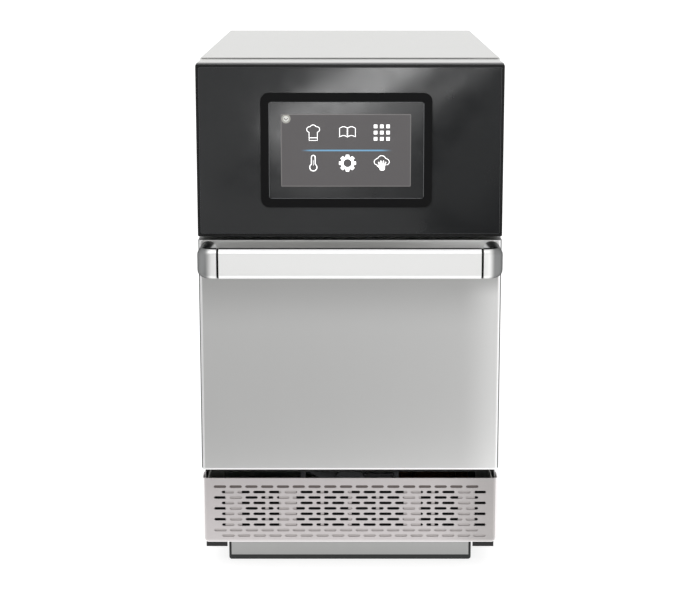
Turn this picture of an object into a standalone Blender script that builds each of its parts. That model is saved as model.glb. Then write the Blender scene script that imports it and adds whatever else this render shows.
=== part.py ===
"""Speed oven: a narrow countertop oven with a drop-down door, a touch screen head and a slotted air grille.

Metres, +Z up. The origin is at the middle of the footprint, on the surface the oven stands on. The front
faces -Y. Depths are measured back from the plane of the door's face, and widths from the middle.
"""

import math

import bmesh
import bpy
from mathutils import Matrix, Vector

# Sheet, gaps and cutters
SHEET = 0.0012
LINER_SHEET = 0.001
SEAT_GAP = 0.0003
CUT_OVERRUN = 0.004
ROUND_SIDES = 20
FINE_SIDES = 12

# Cabinet
CABINET_WIDTH = 0.356
CABINET_DEPTH = 0.595
TOP_FLANGE = 0.014
TOP_SEAM = 0.0008
SIDE_INSULATION = 0.0185
TOP_INSULATION = 0.020
FLOOR_INSULATION = 0.015

# What stands on what at the front, from the bottom up
FOOT_HEIGHT = 0.0391
GRILLE_HEIGHT = 0.0818
DOOR_LOWER_GAP = 0.0108
DOOR_HEIGHT = 0.280
DOOR_UPPER_GAP = 0.0045
HEAD_HEIGHT = 0.2015
TOP_STEP = 0.0008

# Base and feet
PAN_INSET = 0.002
PAN_CLEARANCE = 0.0255
FOOT_WIDTH = 0.300
FOOT_DEPTH = 0.028
FOOT_SETBACK = 0.050
REAR_FOOT_SETBACK = 0.050
FOOT_CORNER = 0.003
FOOT_COVER_INSET = 0.003
FOOT_COVER_CLEARANCE = 0.0064

# Slotted front grille and its filter
GRILLE_INSET = 0.0005
GRILLE_DEPTH = 0.025
GRILLE_CORNER = 0.0062
GRILLE_FOLD = 0.0045
SLOT_ROWS = 10
SLOTS_PER_ROW = 17
SLOT_BRIDGE = 0.0038
SLOT_HEIGHT = 0.0033
SLOT_SIDE_MARGIN = 0.0133
SLOT_TOP_MARGIN = 0.0107
SLOT_BOTTOM_MARGIN = 0.0094
GUIDE_INSET = 0.007
GUIDE_FRONT = 0.003
GUIDE_TOP_GAP = 0.0007
GUIDE_CLEARANCE = 0.001
FILTER_THICKNESS = 0.005
FILTER_SIDE_BORDER = 0.006
FILTER_UPPER_BORDER = 0.011
FILTER_LOWER_BORDER = 0.015
FILTER_BAR = 0.004
FILTER_BAR_PITCH = 0.0334
FILTER_BARS_PER_SIDE = 3
FILTER_POST = 0.020
FILTER_POST_INSETS = (0.029, 0.094)
FILTER_DROP = 0.003
FILTER_MESH_THICKNESS = 0.0015
FILTER_TRAVEL = 0.020

# Head with the glass panel and the screen
HEAD_DEPTH = 0.069
HEAD_FRAME_DEPTH = 0.006
HEAD_FRAME_BORDER = 0.0028
HEAD_CORNER = 0.0015
HEAD_FRONT_ROUND = 0.0025
HEAD_FRAME_DROP = 0.001
GLASS_RECESS = 0.0005
SCREEN_OFFSET = 0.0042
SCREEN_RISE = 0.1012
BEZEL_SIDE_BORDER = 0.0095
BEZEL_UPPER_BORDER = 0.01025
BEZEL_CORNER = 0.010
BEZEL_THICKNESS = 0.0016
BEZEL_WINDOW_WIDTH = 0.180
BEZEL_WINDOW_HEIGHT = 0.113
BEZEL_WINDOW_CORNER = 0.003
SCREEN_LAP = 0.002
SCREEN_BOARD_BORDER = 0.008
SCREEN_BOARD_STANDOFF = 0.006
HEAD_WINDOW_MARGIN = 0.008
BOARD_THICKNESS = 0.0016
STANDOFF_RADIUS = 0.003

# Door
DOOR_DEPTH = 0.040
DOOR_SIDE_ROUND = 0.003
DOOR_EDGE_ROUND = 0.0018
SKIN_RETURN = 0.028
INNER_RETURN = 0.0245
SEAL_THICKNESS = 0.003
SEAL_WIDTH = 0.008
SEAL_MARGIN = 0.0015
PLUG_CLEARANCE = 0.006
PLUG_THICKNESS = 0.010
PLUG_EDGE_ROUND = 0.003
DOOR_INSULATION_INSET = 0.028
DOOR_INSULATION_RISE = 0.024
DOOR_INSULATION_DROP = 0.006

# Door hinges
HINGE_SETBACK = 0.010
HINGE_RISE = 0.008
HINGE_INSET = 0.010
HINGE_PLATE = 0.0025
HINGE_PLATE_SPACE = 0.0025
HINGE_ROUND = 0.006
HINGE_PIN_RADIUS = 0.003
HINGE_HEAD_RADIUS = 0.0055
HINGE_HEAD_THICKNESS = 0.0025
HINGE_TAB_WIDTH = 0.018
HINGE_TAB_HEIGHT = 0.030
HINGE_TAB_THICKNESS = 0.002
HINGE_NOTCH_MARGIN = 0.0012
HINGE_ARM_HEIGHT = 0.060
HINGE_ARM_NECK = 0.020
SPRING_WIRE_RADIUS = 0.0008
SPRING_TURNS = 4
SPRING_PITCH = 0.0026
SPRING_LEG = 0.012
SPRING_POINTS_PER_TURN = 10
DOOR_SWING = math.radians(90)

# Handle
HANDLE_REACH = 0.055
HANDLE_HEIGHT = 0.035
HANDLE_BAR_DEPTH = 0.017
HANDLE_DROP = 0.001
HANDLE_INSET = 0.002
HANDLE_EDGE_ROUND = 0.0065
HANDLE_END_WIDTH = 0.0231
HANDLE_CORNER = 0.0185
HANDLE_NECK_INSET = 0.0045
HANDLE_NECK_WIDTH = 0.0115
HANDLE_ARM_WIDTH = 0.0145
HANDLE_BEND_STEPS = 6
HANDLE_SPACER = 0.002
HANDLE_SPACER_SHRINK = 0.0006

# Oven cavity
MOUTH_RISE = 0.068
MOUTH_DROP = 0.032
REAR_BAY = 0.240
CAVITY_CORNER = 0.005
JET_DROP = 0.008
JET_INSET = 0.012
JET_HOLE_RADIUS = 0.0045
JET_HOLES_PER_SIDE = 5
JET_HOLE_PITCH = 0.038
CEILING_LEDGE = 0.006
BAFFLE_WIDTH = 0.160
BAFFLE_HEIGHT = 0.126
BAFFLE_LEDGE = 0.010
BAFFLE_HOLE_RADIUS = 0.007
BAFFLE_HOLE_PITCH = 0.024
BAFFLE_HOLE_COLUMNS = 5
BAFFLE_HOLE_ROWS = 4
COOK_PLATE_MARGIN = 0.001
COOK_PLATE_HEIGHT = 0.016
COOK_PLATE_SHEET = 0.002
COOK_PLATE_FRONT_GAP = 0.012

# Hot air side
DUCT_WIDTH = 0.240
DUCT_HEIGHT = 0.028
DUCT_DEPTH = 0.055
DUCT_FRONT_GAP = 0.045
DUCT_RISE = 0.012
CATALYST_THICKNESS = 0.014
CATALYST_CELLS = 5
CATALYST_WEB = 0.004
IMPELLER_RADIUS = 0.058
IMPELLER_DISC = 0.002
IMPELLER_BLADE = 0.014
IMPELLER_BLADE_LENGTH = 0.026
IMPELLER_BLADE_THICKNESS = 0.0015
IMPELLER_BLADES = 10
IMPELLER_BLADE_LEAN = math.radians(32)
IMPELLER_HUB_RADIUS = 0.010
IMPELLER_BACK_GAP = 0.010
FAN_SHAFT_RADIUS = 0.004
SHAFT_HOLE_CLEARANCE = 0.001
HEATER_RADIUS = 0.070
HEATER_TUBE_RADIUS = 0.0035
HEATER_BACK_GAP = 0.014
HEATER_POINTS = 26
HEATER_SPREAD = math.radians(20)
HEATER_TAIL = 0.014
MOTOR_RADIUS = 0.040
MOTOR_LENGTH = 0.082
MOTOR_STANDOFF = 0.014
MOTOR_STUD_RADIUS = 0.004
MOTOR_STUD_CIRCLE = 0.034
MOTOR_BORE_DEPTH = 0.030
MOTOR_EDGE_ROUND = 0.005

# Microwave side and cooling
WAVEGUIDE_WIDTH = 0.090
WAVEGUIDE_HEIGHT = 0.040
WAVEGUIDE_LENGTH = 0.180
WAVEGUIDE_WALL = 0.0015
WAVEGUIDE_NECK_WIDTH = 0.070
WAVEGUIDE_NECK_DEPTH = 0.040
WAVEGUIDE_NECK_MARGIN = 0.008
MAGNETRON_WIDTH = 0.084
MAGNETRON_DEPTH = 0.078
MAGNETRON_HEIGHT = 0.080
MAGNETRON_REAR_GAP = 0.006
MAGNETRON_PLATE = 0.003
MAGNETRON_CORE_RADIUS = 0.022
MAGNETRON_FINS = 5
MAGNETRON_FIN = 0.0012
MAGNETRON_FIN_INSET = 0.006
ANTENNA_RADIUS = 0.008
ANTENNA_LENGTH = 0.026
TRANSFORMER_WIDTH = 0.088
TRANSFORMER_DEPTH = 0.084
TRANSFORMER_HEIGHT = 0.082
TRANSFORMER_FRONT = 0.130
TRANSFORMER_SIDE_GAP = 0.024
TRANSFORMER_YOKE = 0.026
TRANSFORMER_COIL_BULGE = 0.012
TRANSFORMER_COIL_INSET = 0.016
CAPACITOR_WIDTH = 0.034
CAPACITOR_DEPTH = 0.054
CAPACITOR_HEIGHT = 0.090
CAPACITOR_FRONT = 0.345
CAPACITOR_SIDE_GAP = 0.020
TERMINAL_RADIUS = 0.003
TERMINAL_HEIGHT = 0.010
TERMINAL_SPREAD = 0.010
FAN_SIZE = 0.120
FAN_FRAME_DEPTH = 0.032
FAN_FRAME_WALL = 0.004
FAN_CORNER = 0.006
FAN_TIP_GAP = 0.0015
FAN_HUB_RADIUS = 0.019
FAN_BLADES = 7
FAN_BLADE_THICKNESS = 0.0018
FAN_BLADE_CHORD = 0.026
FAN_BLADE_PITCH = math.radians(38)
FAN_ROTOR_DEPTH = 0.018
FAN_FRONT_GAP = 0.003
FAN_ARM = 0.006
FAN_ARM_THICKNESS = 0.004
FAN_SHAFT = 0.0025
INTAKE_SIDE_MARGIN = 0.024
INTAKE_LOWER_MARGIN = 0.008
INTAKE_UPPER_MARGIN = 0.006

# Door switches
PLUNGER_RADIUS = 0.004
PLUNGER_SIDE_MARGIN = 0.0245
PLUNGER_RISE = 0.0175
PLUNGER_TRAVEL = 0.005
PLUNGER_HOLE_CLEARANCE = 0.0005
SWITCH_WIDTH = 0.018
SWITCH_LENGTH = 0.040
SWITCH_END_WALL = 0.005

# Electronics shelf and board
SHELF_FLANGE = 0.010
SHELF_REAR_GAP = 0.020
RELAY_BOARD_WIDTH = 0.180
RELAY_BOARD_DEPTH = 0.140
RELAY_BOARD_FRONT = 0.240
RELAY_BOARD_STANDOFF = 0.008
RELAY_WIDTH = 0.022
RELAY_DEPTH = 0.016
RELAY_HEIGHT = 0.018
RELAY_PITCH = 0.032
RELAYS = 5

# Rear panel and cable gland
LOUVRE_LENGTH = 0.064
LOUVRE_HEIGHT = 0.005
LOUVRE_PITCH = 0.012
LOUVRE_COLUMN_PITCH = 0.082
LOUVRE_COLUMNS = 3
LOUVRE_ROWS = 6
LOUVRE_TOP_MARGIN = 0.036
LOWER_LOUVRE_ROWS = 4
LOWER_LOUVRE_COLUMNS = 2
LOWER_LOUVRE_RISE = 0.030
LOWER_LOUVRE_OFFSET = 0.045
GLAND_SIDE_INSET = 0.0615
GLAND_RISE = 0.048
GLAND_THREAD_RADIUS = 0.0125
GLAND_NUT_RADIUS = 0.0175
GLAND_NUT_THICKNESS = 0.007
GLAND_DOME_RADIUS = 0.0145
GLAND_DOME_LENGTH = 0.013
GLAND_BORE_RADIUS = 0.0065
GLAND_INSIDE = 0.010

# Places worked out from the sizes above
GLAND_REACH = SEAT_GAP + GLAND_NUT_THICKNESS + GLAND_DOME_LENGTH
FRONT_Y = HANDLE_REACH - (HANDLE_REACH + CABINET_DEPTH + GLAND_REACH) / 2
BACK_Y = FRONT_Y + CABINET_DEPTH
HALF_WIDTH = CABINET_WIDTH / 2
SIDE_OUTER_X = HALF_WIDTH - SHEET - SEAT_GAP
SIDE_INNER_X = SIDE_OUTER_X - SHEET

GLAND_X = GLAND_SIDE_INSET - SIDE_OUTER_X
GRILLE_Z = FOOT_HEIGHT + SEAT_GAP
GRILLE_TOP = GRILLE_Z + GRILLE_HEIGHT
DOOR_Z = GRILLE_TOP + DOOR_LOWER_GAP
DOOR_TOP = DOOR_Z + DOOR_HEIGHT
HEAD_Z = DOOR_TOP + DOOR_UPPER_GAP
HEAD_TOP = HEAD_Z + HEAD_HEIGHT
TOP_Z = HEAD_TOP + TOP_STEP + SHEET

FRAME_FRONT = DOOR_DEPTH + SEAL_THICKNESS + 2 * SEAT_GAP
FRAME_BACK = FRAME_FRONT + SHEET
CAVITY_FRONT = FRAME_BACK + SEAT_GAP
CAVITY_BACK = CABINET_DEPTH - REAR_BAY
CAVITY_MIDDLE = (CAVITY_FRONT + CAVITY_BACK) / 2
CAVITY_HALF = SIDE_INNER_X - 2 * SEAT_GAP - SIDE_INSULATION - LINER_SHEET
CAVITY_Z = DOOR_Z + MOUTH_RISE
CAVITY_TOP = DOOR_TOP - MOUTH_DROP
CAVITY_CENTRE_Z = (CAVITY_Z + CAVITY_TOP) / 2
LINER_FLOOR = CAVITY_Z - LINER_SHEET
LINER_TOP = CAVITY_TOP + LINER_SHEET
LINER_BACK = CAVITY_BACK + LINER_SHEET
FLOOR_INSULATION_Z = LINER_FLOOR - SEAT_GAP - FLOOR_INSULATION

DUCT_Z = LINER_TOP + SEAT_GAP
DUCT_TOP = DUCT_Z + DUCT_HEIGHT
DUCT_BACK = LINER_BACK + SEAT_GAP + DUCT_DEPTH
JACKET_TOP = DUCT_TOP + SEAT_GAP + TOP_INSULATION
SHELF_Z = JACKET_TOP + SEAT_GAP
SCREEN_X = -SCREEN_OFFSET
SCREEN_Z = HEAD_Z + SCREEN_RISE
HINGE_Z = DOOR_Z + HINGE_RISE
HANDLE_TOP = DOOR_TOP - HANDLE_DROP
HANDLE_Z = HANDLE_TOP - HANDLE_HEIGHT
HANDLE_HALF = HALF_WIDTH - HANDLE_INSET
PLUNGER_X = SIDE_INNER_X - PLUNGER_SIDE_MARGIN
PLUNGER_Z = CAVITY_TOP + PLUNGER_RISE
GUIDE_OUTER_X = HALF_WIDTH - GUIDE_INSET
GUIDE_INNER_X = GUIDE_OUTER_X - SHEET
WAVEGUIDE_TOP = FLOOR_INSULATION_Z - SEAT_GAP
WAVEGUIDE_Z = WAVEGUIDE_TOP - WAVEGUIDE_HEIGHT
WAVEGUIDE_FRONT = CAVITY_MIDDLE - WAVEGUIDE_NECK_DEPTH / 2 - WAVEGUIDE_NECK_MARGIN
MAGNETRON_CENTRE = WAVEGUIDE_FRONT + WAVEGUIDE_LENGTH - MAGNETRON_REAR_GAP - MAGNETRON_DEPTH / 2
FAN_FRONT = FRAME_BACK + SEAT_GAP
FAN_CENTRE_Z = FOOT_HEIGHT + SEAT_GAP + FAN_SIZE / 2

SIDES = (("left", -1), ("right", 1))


def behind(depth):
    """The Y of a plane that lies this far behind the door's face."""
    return FRONT_Y + depth


def span(middle, size):
    """The two ends of a length about its middle."""
    return middle - size / 2, middle + size / 2


def mirrored(low, high, side):
    """The X range of a piece on one side, given as its distances from the middle."""
    return (low, high) if side > 0 else (-high, -low)


# Scene, collections and materials


def clear_scene():
    for obj in list(bpy.data.objects):
        bpy.data.objects.remove(obj, do_unlink=True)


def new_collection(name):
    collection = bpy.data.collections.new(name)
    bpy.context.scene.collection.children.link(collection)
    return collection


def linear(channel):
    return channel / 12.92 if channel <= 0.04045 else ((channel + 0.055) / 1.055) ** 2.4


def finish(obj, colour, roughness, metallic=0.0):
    """Gives a piece its own material from an sRGB hex colour."""
    material = bpy.data.materials.new(obj.name)
    material.use_nodes = True
    shader = material.node_tree.nodes["Principled BSDF"]
    channels = [int(colour[start : start + 2], 16) / 255 for start in (1, 3, 5)]
    shader.inputs["Base Color"].default_value = (*map(linear, channels), 1.0)
    shader.inputs["Roughness"].default_value = roughness
    shader.inputs["Metallic"].default_value = metallic
    obj.data.materials.clear()
    obj.data.materials.append(material)
    return obj


def steel(obj, colour="#b9b9b8", roughness=0.32):
    return finish(obj, colour, roughness, 1.0)


def black_part(obj, roughness=0.5):
    return finish(obj, "#17181a", roughness)


# Shapes


def object_from(bm, name):
    bmesh.ops.recalc_face_normals(bm, faces=bm.faces)
    mesh = bpy.data.meshes.new(name)
    bm.to_mesh(mesh)
    bm.free()
    obj = bpy.data.objects.new(name, mesh)
    PARTS.objects.link(obj)
    return obj


def smooth(obj, angle=math.radians(35)):
    obj.data.shade_smooth()
    obj.data.set_sharp_from_angle(angle=angle)
    return obj


def along(edge, axis):
    direction = edge.verts[1].co - edge.verts[0].co
    return abs(direction[axis]) > 0.99 * direction.length


def block(name, x, y, z, rounds=()):
    """A box between two corners.

    Each of rounds is an axis, a radius, its steps and a test on the edge's middle. An axis of None takes
    the edges that run any way.
    """
    bm = bmesh.new()
    bmesh.ops.create_cube(bm, size=1)
    low = Vector((x[0], y[0], z[0]))
    high = Vector((x[1], y[1], z[1]))
    bmesh.ops.scale(bm, vec=high - low, verts=bm.verts)
    bmesh.ops.translate(bm, vec=(low + high) / 2, verts=bm.verts)
    for axis, radius, steps, chosen in rounds:
        edges = [edge for edge in bm.edges if axis is None or along(edge, axis)]
        edges = [edge for edge in edges if chosen((edge.verts[0].co + edge.verts[1].co) / 2)]
        bmesh.ops.bevel(bm, geom=edges, offset=radius, segments=steps, profile=0.5, affect="EDGES")
    return object_from(bm, name)


def every_edge(middle):
    return True


def turn_to(axis):
    """The rotation that takes +Z to an axis of the oven."""
    return Vector((0, 0, 1)).rotation_difference(Vector(axis)).to_matrix().to_4x4()


def cylinder(name, centre, axis, radius, length, sides=ROUND_SIDES):
    bm = bmesh.new()
    bmesh.ops.create_cone(
        bm, cap_ends=True, segments=sides, radius1=radius, radius2=radius, depth=length
    )
    bmesh.ops.transform(bm, matrix=turn_to(axis), verts=bm.verts)
    obj = object_from(bm, name)
    obj.location = centre
    return smooth(obj)


def rounded_outline(x, z, radii, steps=3):
    """A rectangle's outline with a radius at each corner, counter-clockwise from the lower left."""
    corners = ((x[0], z[0]), (x[1], z[0]), (x[1], z[1]), (x[0], z[1]))
    inward = ((1, 1), (-1, 1), (-1, -1), (1, -1))
    points = []
    for turn, (corner, way, radius) in enumerate(zip(corners, inward, radii)):
        if radius <= 0:
            points.append(corner)
            continue
        centre = (corner[0] + way[0] * radius, corner[1] + way[1] * radius)
        for step in range(steps + 1):
            angle = math.pi + (turn + step / steps) * math.pi / 2
            points.append(
                (centre[0] + radius * math.cos(angle), centre[1] + radius * math.sin(angle))
            )
    return points


def slot_outline(x, z, length, height, steps=3):
    """A slot with half-round ends."""
    radius = height / 2
    points = []
    for side, start in ((1, -math.pi / 2), (-1, math.pi / 2)):
        for step in range(steps + 1):
            angle = start + step / steps * math.pi
            points.append(
                (
                    x + side * (length / 2 - radius) + radius * math.cos(angle),
                    z + radius * math.sin(angle),
                )
            )
    return points


def circle_outline(x, z, radius, sides=FINE_SIDES):
    turn = 2 * math.pi / sides
    return [(x + radius * math.cos(n * turn), z + radius * math.sin(n * turn)) for n in range(sides)]


FACING = {
    "front": Matrix(((1, 0, 0, 0), (0, 0, -1, 0), (0, 1, 0, 0), (0, 0, 0, 1))),
    "side": Matrix(((0, 0, 1, 0), (1, 0, 0, 0), (0, 1, 0, 0), (0, 0, 0, 1))),
    "top": Matrix.Identity(4),
}


def plate(name, outlines, facing, low, high):
    """A flat plate: the first outline is its edge and the others are its openings.

    A front plate takes X, Z outlines and lies between two Y planes, a side plate takes Y, Z outlines and
    lies between two X planes, and a top plate takes X, Y outlines and lies between two Z planes.
    """
    curve = bpy.data.curves.new(name, "CURVE")
    curve.dimensions = "2D"
    curve.fill_mode = "BOTH"
    curve.extrude = (high - low) / 2
    for outline in outlines:
        spline = curve.splines.new("POLY")
        spline.points.add(len(outline) - 1)
        for point, (across, up) in zip(spline.points, outline):
            point.co = (across, up, 0, 1)
        spline.use_cyclic_u = True
    guide = bpy.data.objects.new(name + "_outline", curve)
    PARTS.objects.link(guide)
    bpy.context.view_layer.update()
    evaluated = guide.evaluated_get(bpy.context.evaluated_depsgraph_get())
    mesh = bpy.data.meshes.new_from_object(evaluated)
    bpy.data.objects.remove(guide, do_unlink=True)
    bm = bmesh.new()
    bm.from_mesh(mesh)
    bpy.data.meshes.remove(mesh)
    bmesh.ops.remove_doubles(bm, verts=bm.verts, dist=SEAT_GAP / 100)
    bmesh.ops.transform(bm, matrix=FACING[facing], verts=bm.verts)
    middle = (low + high) / 2
    shift = {"front": (0, middle, 0), "side": (middle, 0, 0), "top": (0, 0, middle)}[facing]
    bmesh.ops.translate(bm, vec=shift, verts=bm.verts)
    return object_from(bm, name)


def turned(name, profile, centre, axis, steps=ROUND_SIDES):
    """A ring or a round piece from its closed profile of radius and height, run down its outer side."""
    mesh = bpy.data.meshes.new(name)
    points = [(radius, 0, height) for radius, height in profile]
    edges = [(n, (n + 1) % len(points)) for n in range(len(points))]
    mesh.from_pydata(points, edges, [])
    obj = bpy.data.objects.new(name, mesh)
    PARTS.objects.link(obj)
    obj.matrix_world = Matrix.Translation(centre) @ turn_to(axis)
    screw = obj.modifiers.new("turn", "SCREW")
    screw.steps = screw.render_steps = steps
    screw.use_merge_vertices = True
    screw.merge_threshold = SEAT_GAP / 10
    screw.use_smooth_shade = False
    return obj


def lofted(name, rings):
    """A solid through closed rings that have the same number of points."""
    bm = bmesh.new()
    loops = [[bm.verts.new(point) for point in ring] for ring in rings]
    for near, far in zip(loops, loops[1:]):
        for n, vert in enumerate(near):
            before = n - 1
            bm.faces.new((near[before], vert, far[n], far[before]))
    bm.faces.new(loops[0])
    bm.faces.new(loops[-1])
    return object_from(bm, name)


def tube(name, points, radius, resolution=2):
    """A bent tube or wire with closed ends."""
    curve = bpy.data.curves.new(name, "CURVE")
    curve.dimensions = "3D"
    curve.bevel_depth = radius
    curve.bevel_resolution = resolution
    curve.use_fill_caps = True
    spline = curve.splines.new("POLY")
    spline.points.add(len(points) - 1)
    for point, place in zip(spline.points, points):
        point.co = (*place, 1)
    obj = bpy.data.objects.new(name, curve)
    PARTS.objects.link(obj)
    return obj


def tool(obj, name):
    """Moves a shape to the cutters, so that it only cuts or joins."""
    obj.name = name
    PARTS.objects.unlink(obj)
    TOOLS.objects.link(obj)
    obj.hide_render = True
    obj.display_type = "WIRE"
    return obj


def combine(obj, other, operation):
    modifier = obj.modifiers.new(other.name, "BOOLEAN")
    modifier.operation = operation
    modifier.solver = "EXACT"
    modifier.object = tool(other, f"{obj.name}_{operation.lower()}_{len(obj.modifiers)}")
    return obj


def cut(obj, other):
    return combine(obj, other, "DIFFERENCE")


def join(obj, other):
    return combine(obj, other, "UNION")


def repeated(name, shape, places):
    """One cutter or joined shape made of copies that don't touch, each drawn on a bmesh by shape."""
    bm = bmesh.new()
    for place in places:
        shape(bm, place)
    return object_from(bm, name)


def box_copy(bm, x, y, z, matrix=None):
    """Adds one box to a bmesh."""
    made = bmesh.ops.create_cube(bm, size=1)["verts"]
    low = Vector((x[0], y[0], z[0]))
    high = Vector((x[1], y[1], z[1]))
    bmesh.ops.scale(bm, vec=high - low, verts=made)
    bmesh.ops.translate(bm, vec=(low + high) / 2, verts=made)
    if matrix is not None:
        bmesh.ops.transform(bm, matrix=matrix, verts=made)


def rod_copy(bm, centre, axis, radius, length, sides=FINE_SIDES):
    """Adds one rod to a bmesh."""
    made = bmesh.ops.create_cone(
        bm, cap_ends=True, segments=sides, radius1=radius, radius2=radius, depth=length
    )["verts"]
    bmesh.ops.transform(bm, matrix=Matrix.Translation(centre) @ turn_to(axis), verts=made)


def axis_empty(name, place):
    """The parent of a moving body, on its joint's axis."""
    empty = bpy.data.objects.new(name, None)
    empty.location = place
    empty.empty_display_size = HINGE_TAB_HEIGHT
    PARTS.objects.link(empty)
    return empty


def carry(parent, pieces):
    bpy.context.view_layer.update()
    for piece in pieces:
        piece.parent = parent
        piece.matrix_parent_inverse = parent.matrix_world.inverted()


# Base and feet


def base_pan():
    """A tray with its rim turned down. The front of the rim is left out where the foot stands."""
    half = HALF_WIDTH - PAN_INSET
    front = GRILLE_DEPTH + GUIDE_CLEARANCE
    rear = CABINET_DEPTH - PAN_INSET
    under = FOOT_HEIGHT - SHEET
    lowest = PAN_CLEARANCE - CUT_OVERRUN
    pan = block("base_pan", (-half, half), (behind(front), behind(rear)), (PAN_CLEARANCE, FOOT_HEIGHT))
    inside = block(
        "inside",
        (SHEET - half, half - SHEET),
        (behind(front + SHEET), behind(rear - SHEET)),
        (lowest, under),
    )
    notch = block(
        "notch",
        (-FOOT_WIDTH / 2 - SEAT_GAP, FOOT_WIDTH / 2 + SEAT_GAP),
        (behind(front - CUT_OVERRUN), behind(front + CUT_OVERRUN)),
        (lowest, under),
    )
    cut(pan, inside)
    cut(pan, notch)
    return black_part(pan, 0.55)


def foot_rail(name, setback):
    def lower(middle):
        return middle.z < FOOT_CORNER

    rail = block(
        name,
        (-FOOT_WIDTH / 2, FOOT_WIDTH / 2),
        (behind(setback), behind(setback + FOOT_DEPTH)),
        (0, FOOT_HEIGHT - SHEET - SEAT_GAP),
        rounds=((1, FOOT_CORNER, 3, lower),),
    )
    return black_part(rail, 0.8)


def front_foot_cover():
    half = FOOT_WIDTH / 2 - FOOT_COVER_INSET
    back = FOOT_SETBACK - SEAT_GAP
    cover = block(
        "front_foot_cover",
        (-half, half),
        (behind(back - SHEET), behind(back)),
        (FOOT_COVER_CLEARANCE, FOOT_HEIGHT - SHEET - SEAT_GAP),
    )
    return steel(cover)


# Cabinet sheets


def side_panel(label, side):
    lower = behind(GRILLE_DEPTH + GUIDE_CLEARANCE)
    door = behind(FRAME_FRONT)
    head = behind(HEAD_DEPTH + SEAT_GAP)
    rear = BACK_Y - SHEET - SEAT_GAP
    bottom = FOOT_HEIGHT + SEAT_GAP
    step = GRILLE_TOP + DOOR_LOWER_GAP / 2
    top = TOP_Z - SHEET - SEAT_GAP
    outline = [
        (lower, bottom),
        (rear, bottom),
        (rear, top),
        (head, top),
        (head, HEAD_Z - SEAT_GAP),
        (door, HEAD_Z - SEAT_GAP),
        (door, step),
        (lower, step),
    ]
    x = mirrored(SIDE_INNER_X, SIDE_OUTER_X, side)
    return steel(plate(f"side_panel_{label}", [outline], "side", *x))


def top_cover():
    """A flat top with a flange turned down over each side panel."""
    outer, inner = HALF_WIDTH, HALF_WIDTH - SHEET
    under, foot = TOP_Z - SHEET, TOP_Z - TOP_FLANGE
    fold = HEAD_CORNER
    half = [(inner, foot), (outer, foot), (outer, TOP_Z - fold), (outer - fold / 3, TOP_Z - fold / 3)]
    half += [(outer - fold, TOP_Z)]
    mirror = [(-x, z) for x, z in reversed(half)]
    outline = half + mirror + [(-inner, under), (inner, under)]
    cover = plate("top_cover", [outline], "front", behind(HEAD_DEPTH + TOP_SEAM), BACK_Y)
    return steel(cover, "#d8d8d7", 0.36)


def louvres(columns, rows, centre_x, lowest):
    for row in range(rows):
        for column in range(columns):
            x = centre_x + (column - (columns - 1) / 2) * LOUVRE_COLUMN_PITCH
            yield slot_outline(x, lowest + row * LOUVRE_PITCH, LOUVRE_LENGTH, LOUVRE_HEIGHT)


def rear_panel():
    top = TOP_Z - SHEET - SEAT_GAP
    bottom = FOOT_HEIGHT + SEAT_GAP
    edge = rounded_outline((-SIDE_OUTER_X, SIDE_OUTER_X), (bottom, top), (0, 0, 0, 0))
    upper = top - LOUVRE_TOP_MARGIN - (LOUVRE_ROWS - 1) * LOUVRE_PITCH
    outlines = [edge, *louvres(LOUVRE_COLUMNS, LOUVRE_ROWS, 0, upper)]
    outlines += louvres(
        LOWER_LOUVRE_COLUMNS, LOWER_LOUVRE_ROWS, LOWER_LOUVRE_OFFSET, bottom + LOWER_LOUVRE_RISE
    )
    hole = GLAND_THREAD_RADIUS + SEAT_GAP
    outlines.append(circle_outline(GLAND_X, bottom + GLAND_RISE, hole, ROUND_SIDES))
    return steel(plate("rear_panel", outlines, "front", BACK_Y - SHEET, BACK_Y))


def cable_gland():
    """Thread through the rear panel, hexagon, and a domed clamping nut, with the cable's bore."""
    inside = SHEET + GLAND_INSIDE
    nut = SEAT_GAP + GLAND_NUT_THICKNESS
    reach = GLAND_REACH
    shoulder = nut + GLAND_DOME_LENGTH / 2
    tip = (GLAND_BORE_RADIUS + GLAND_DOME_RADIUS) / 2
    profile = [
        (GLAND_BORE_RADIUS, reach),
        (tip, reach),
        (GLAND_DOME_RADIUS, shoulder),
        (GLAND_DOME_RADIUS, nut),
        (GLAND_NUT_RADIUS, nut),
        (GLAND_NUT_RADIUS, SEAT_GAP),
        (GLAND_THREAD_RADIUS, SEAT_GAP),
        (GLAND_THREAD_RADIUS, -inside),
        (GLAND_BORE_RADIUS, -inside),
    ]
    place = (GLAND_X, BACK_Y, FOOT_HEIGHT + SEAT_GAP + GLAND_RISE)
    return black_part(turned("cable_gland", profile, place, (0, 1, 0), FINE_SIDES))


# Head with the glass and the screen


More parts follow.
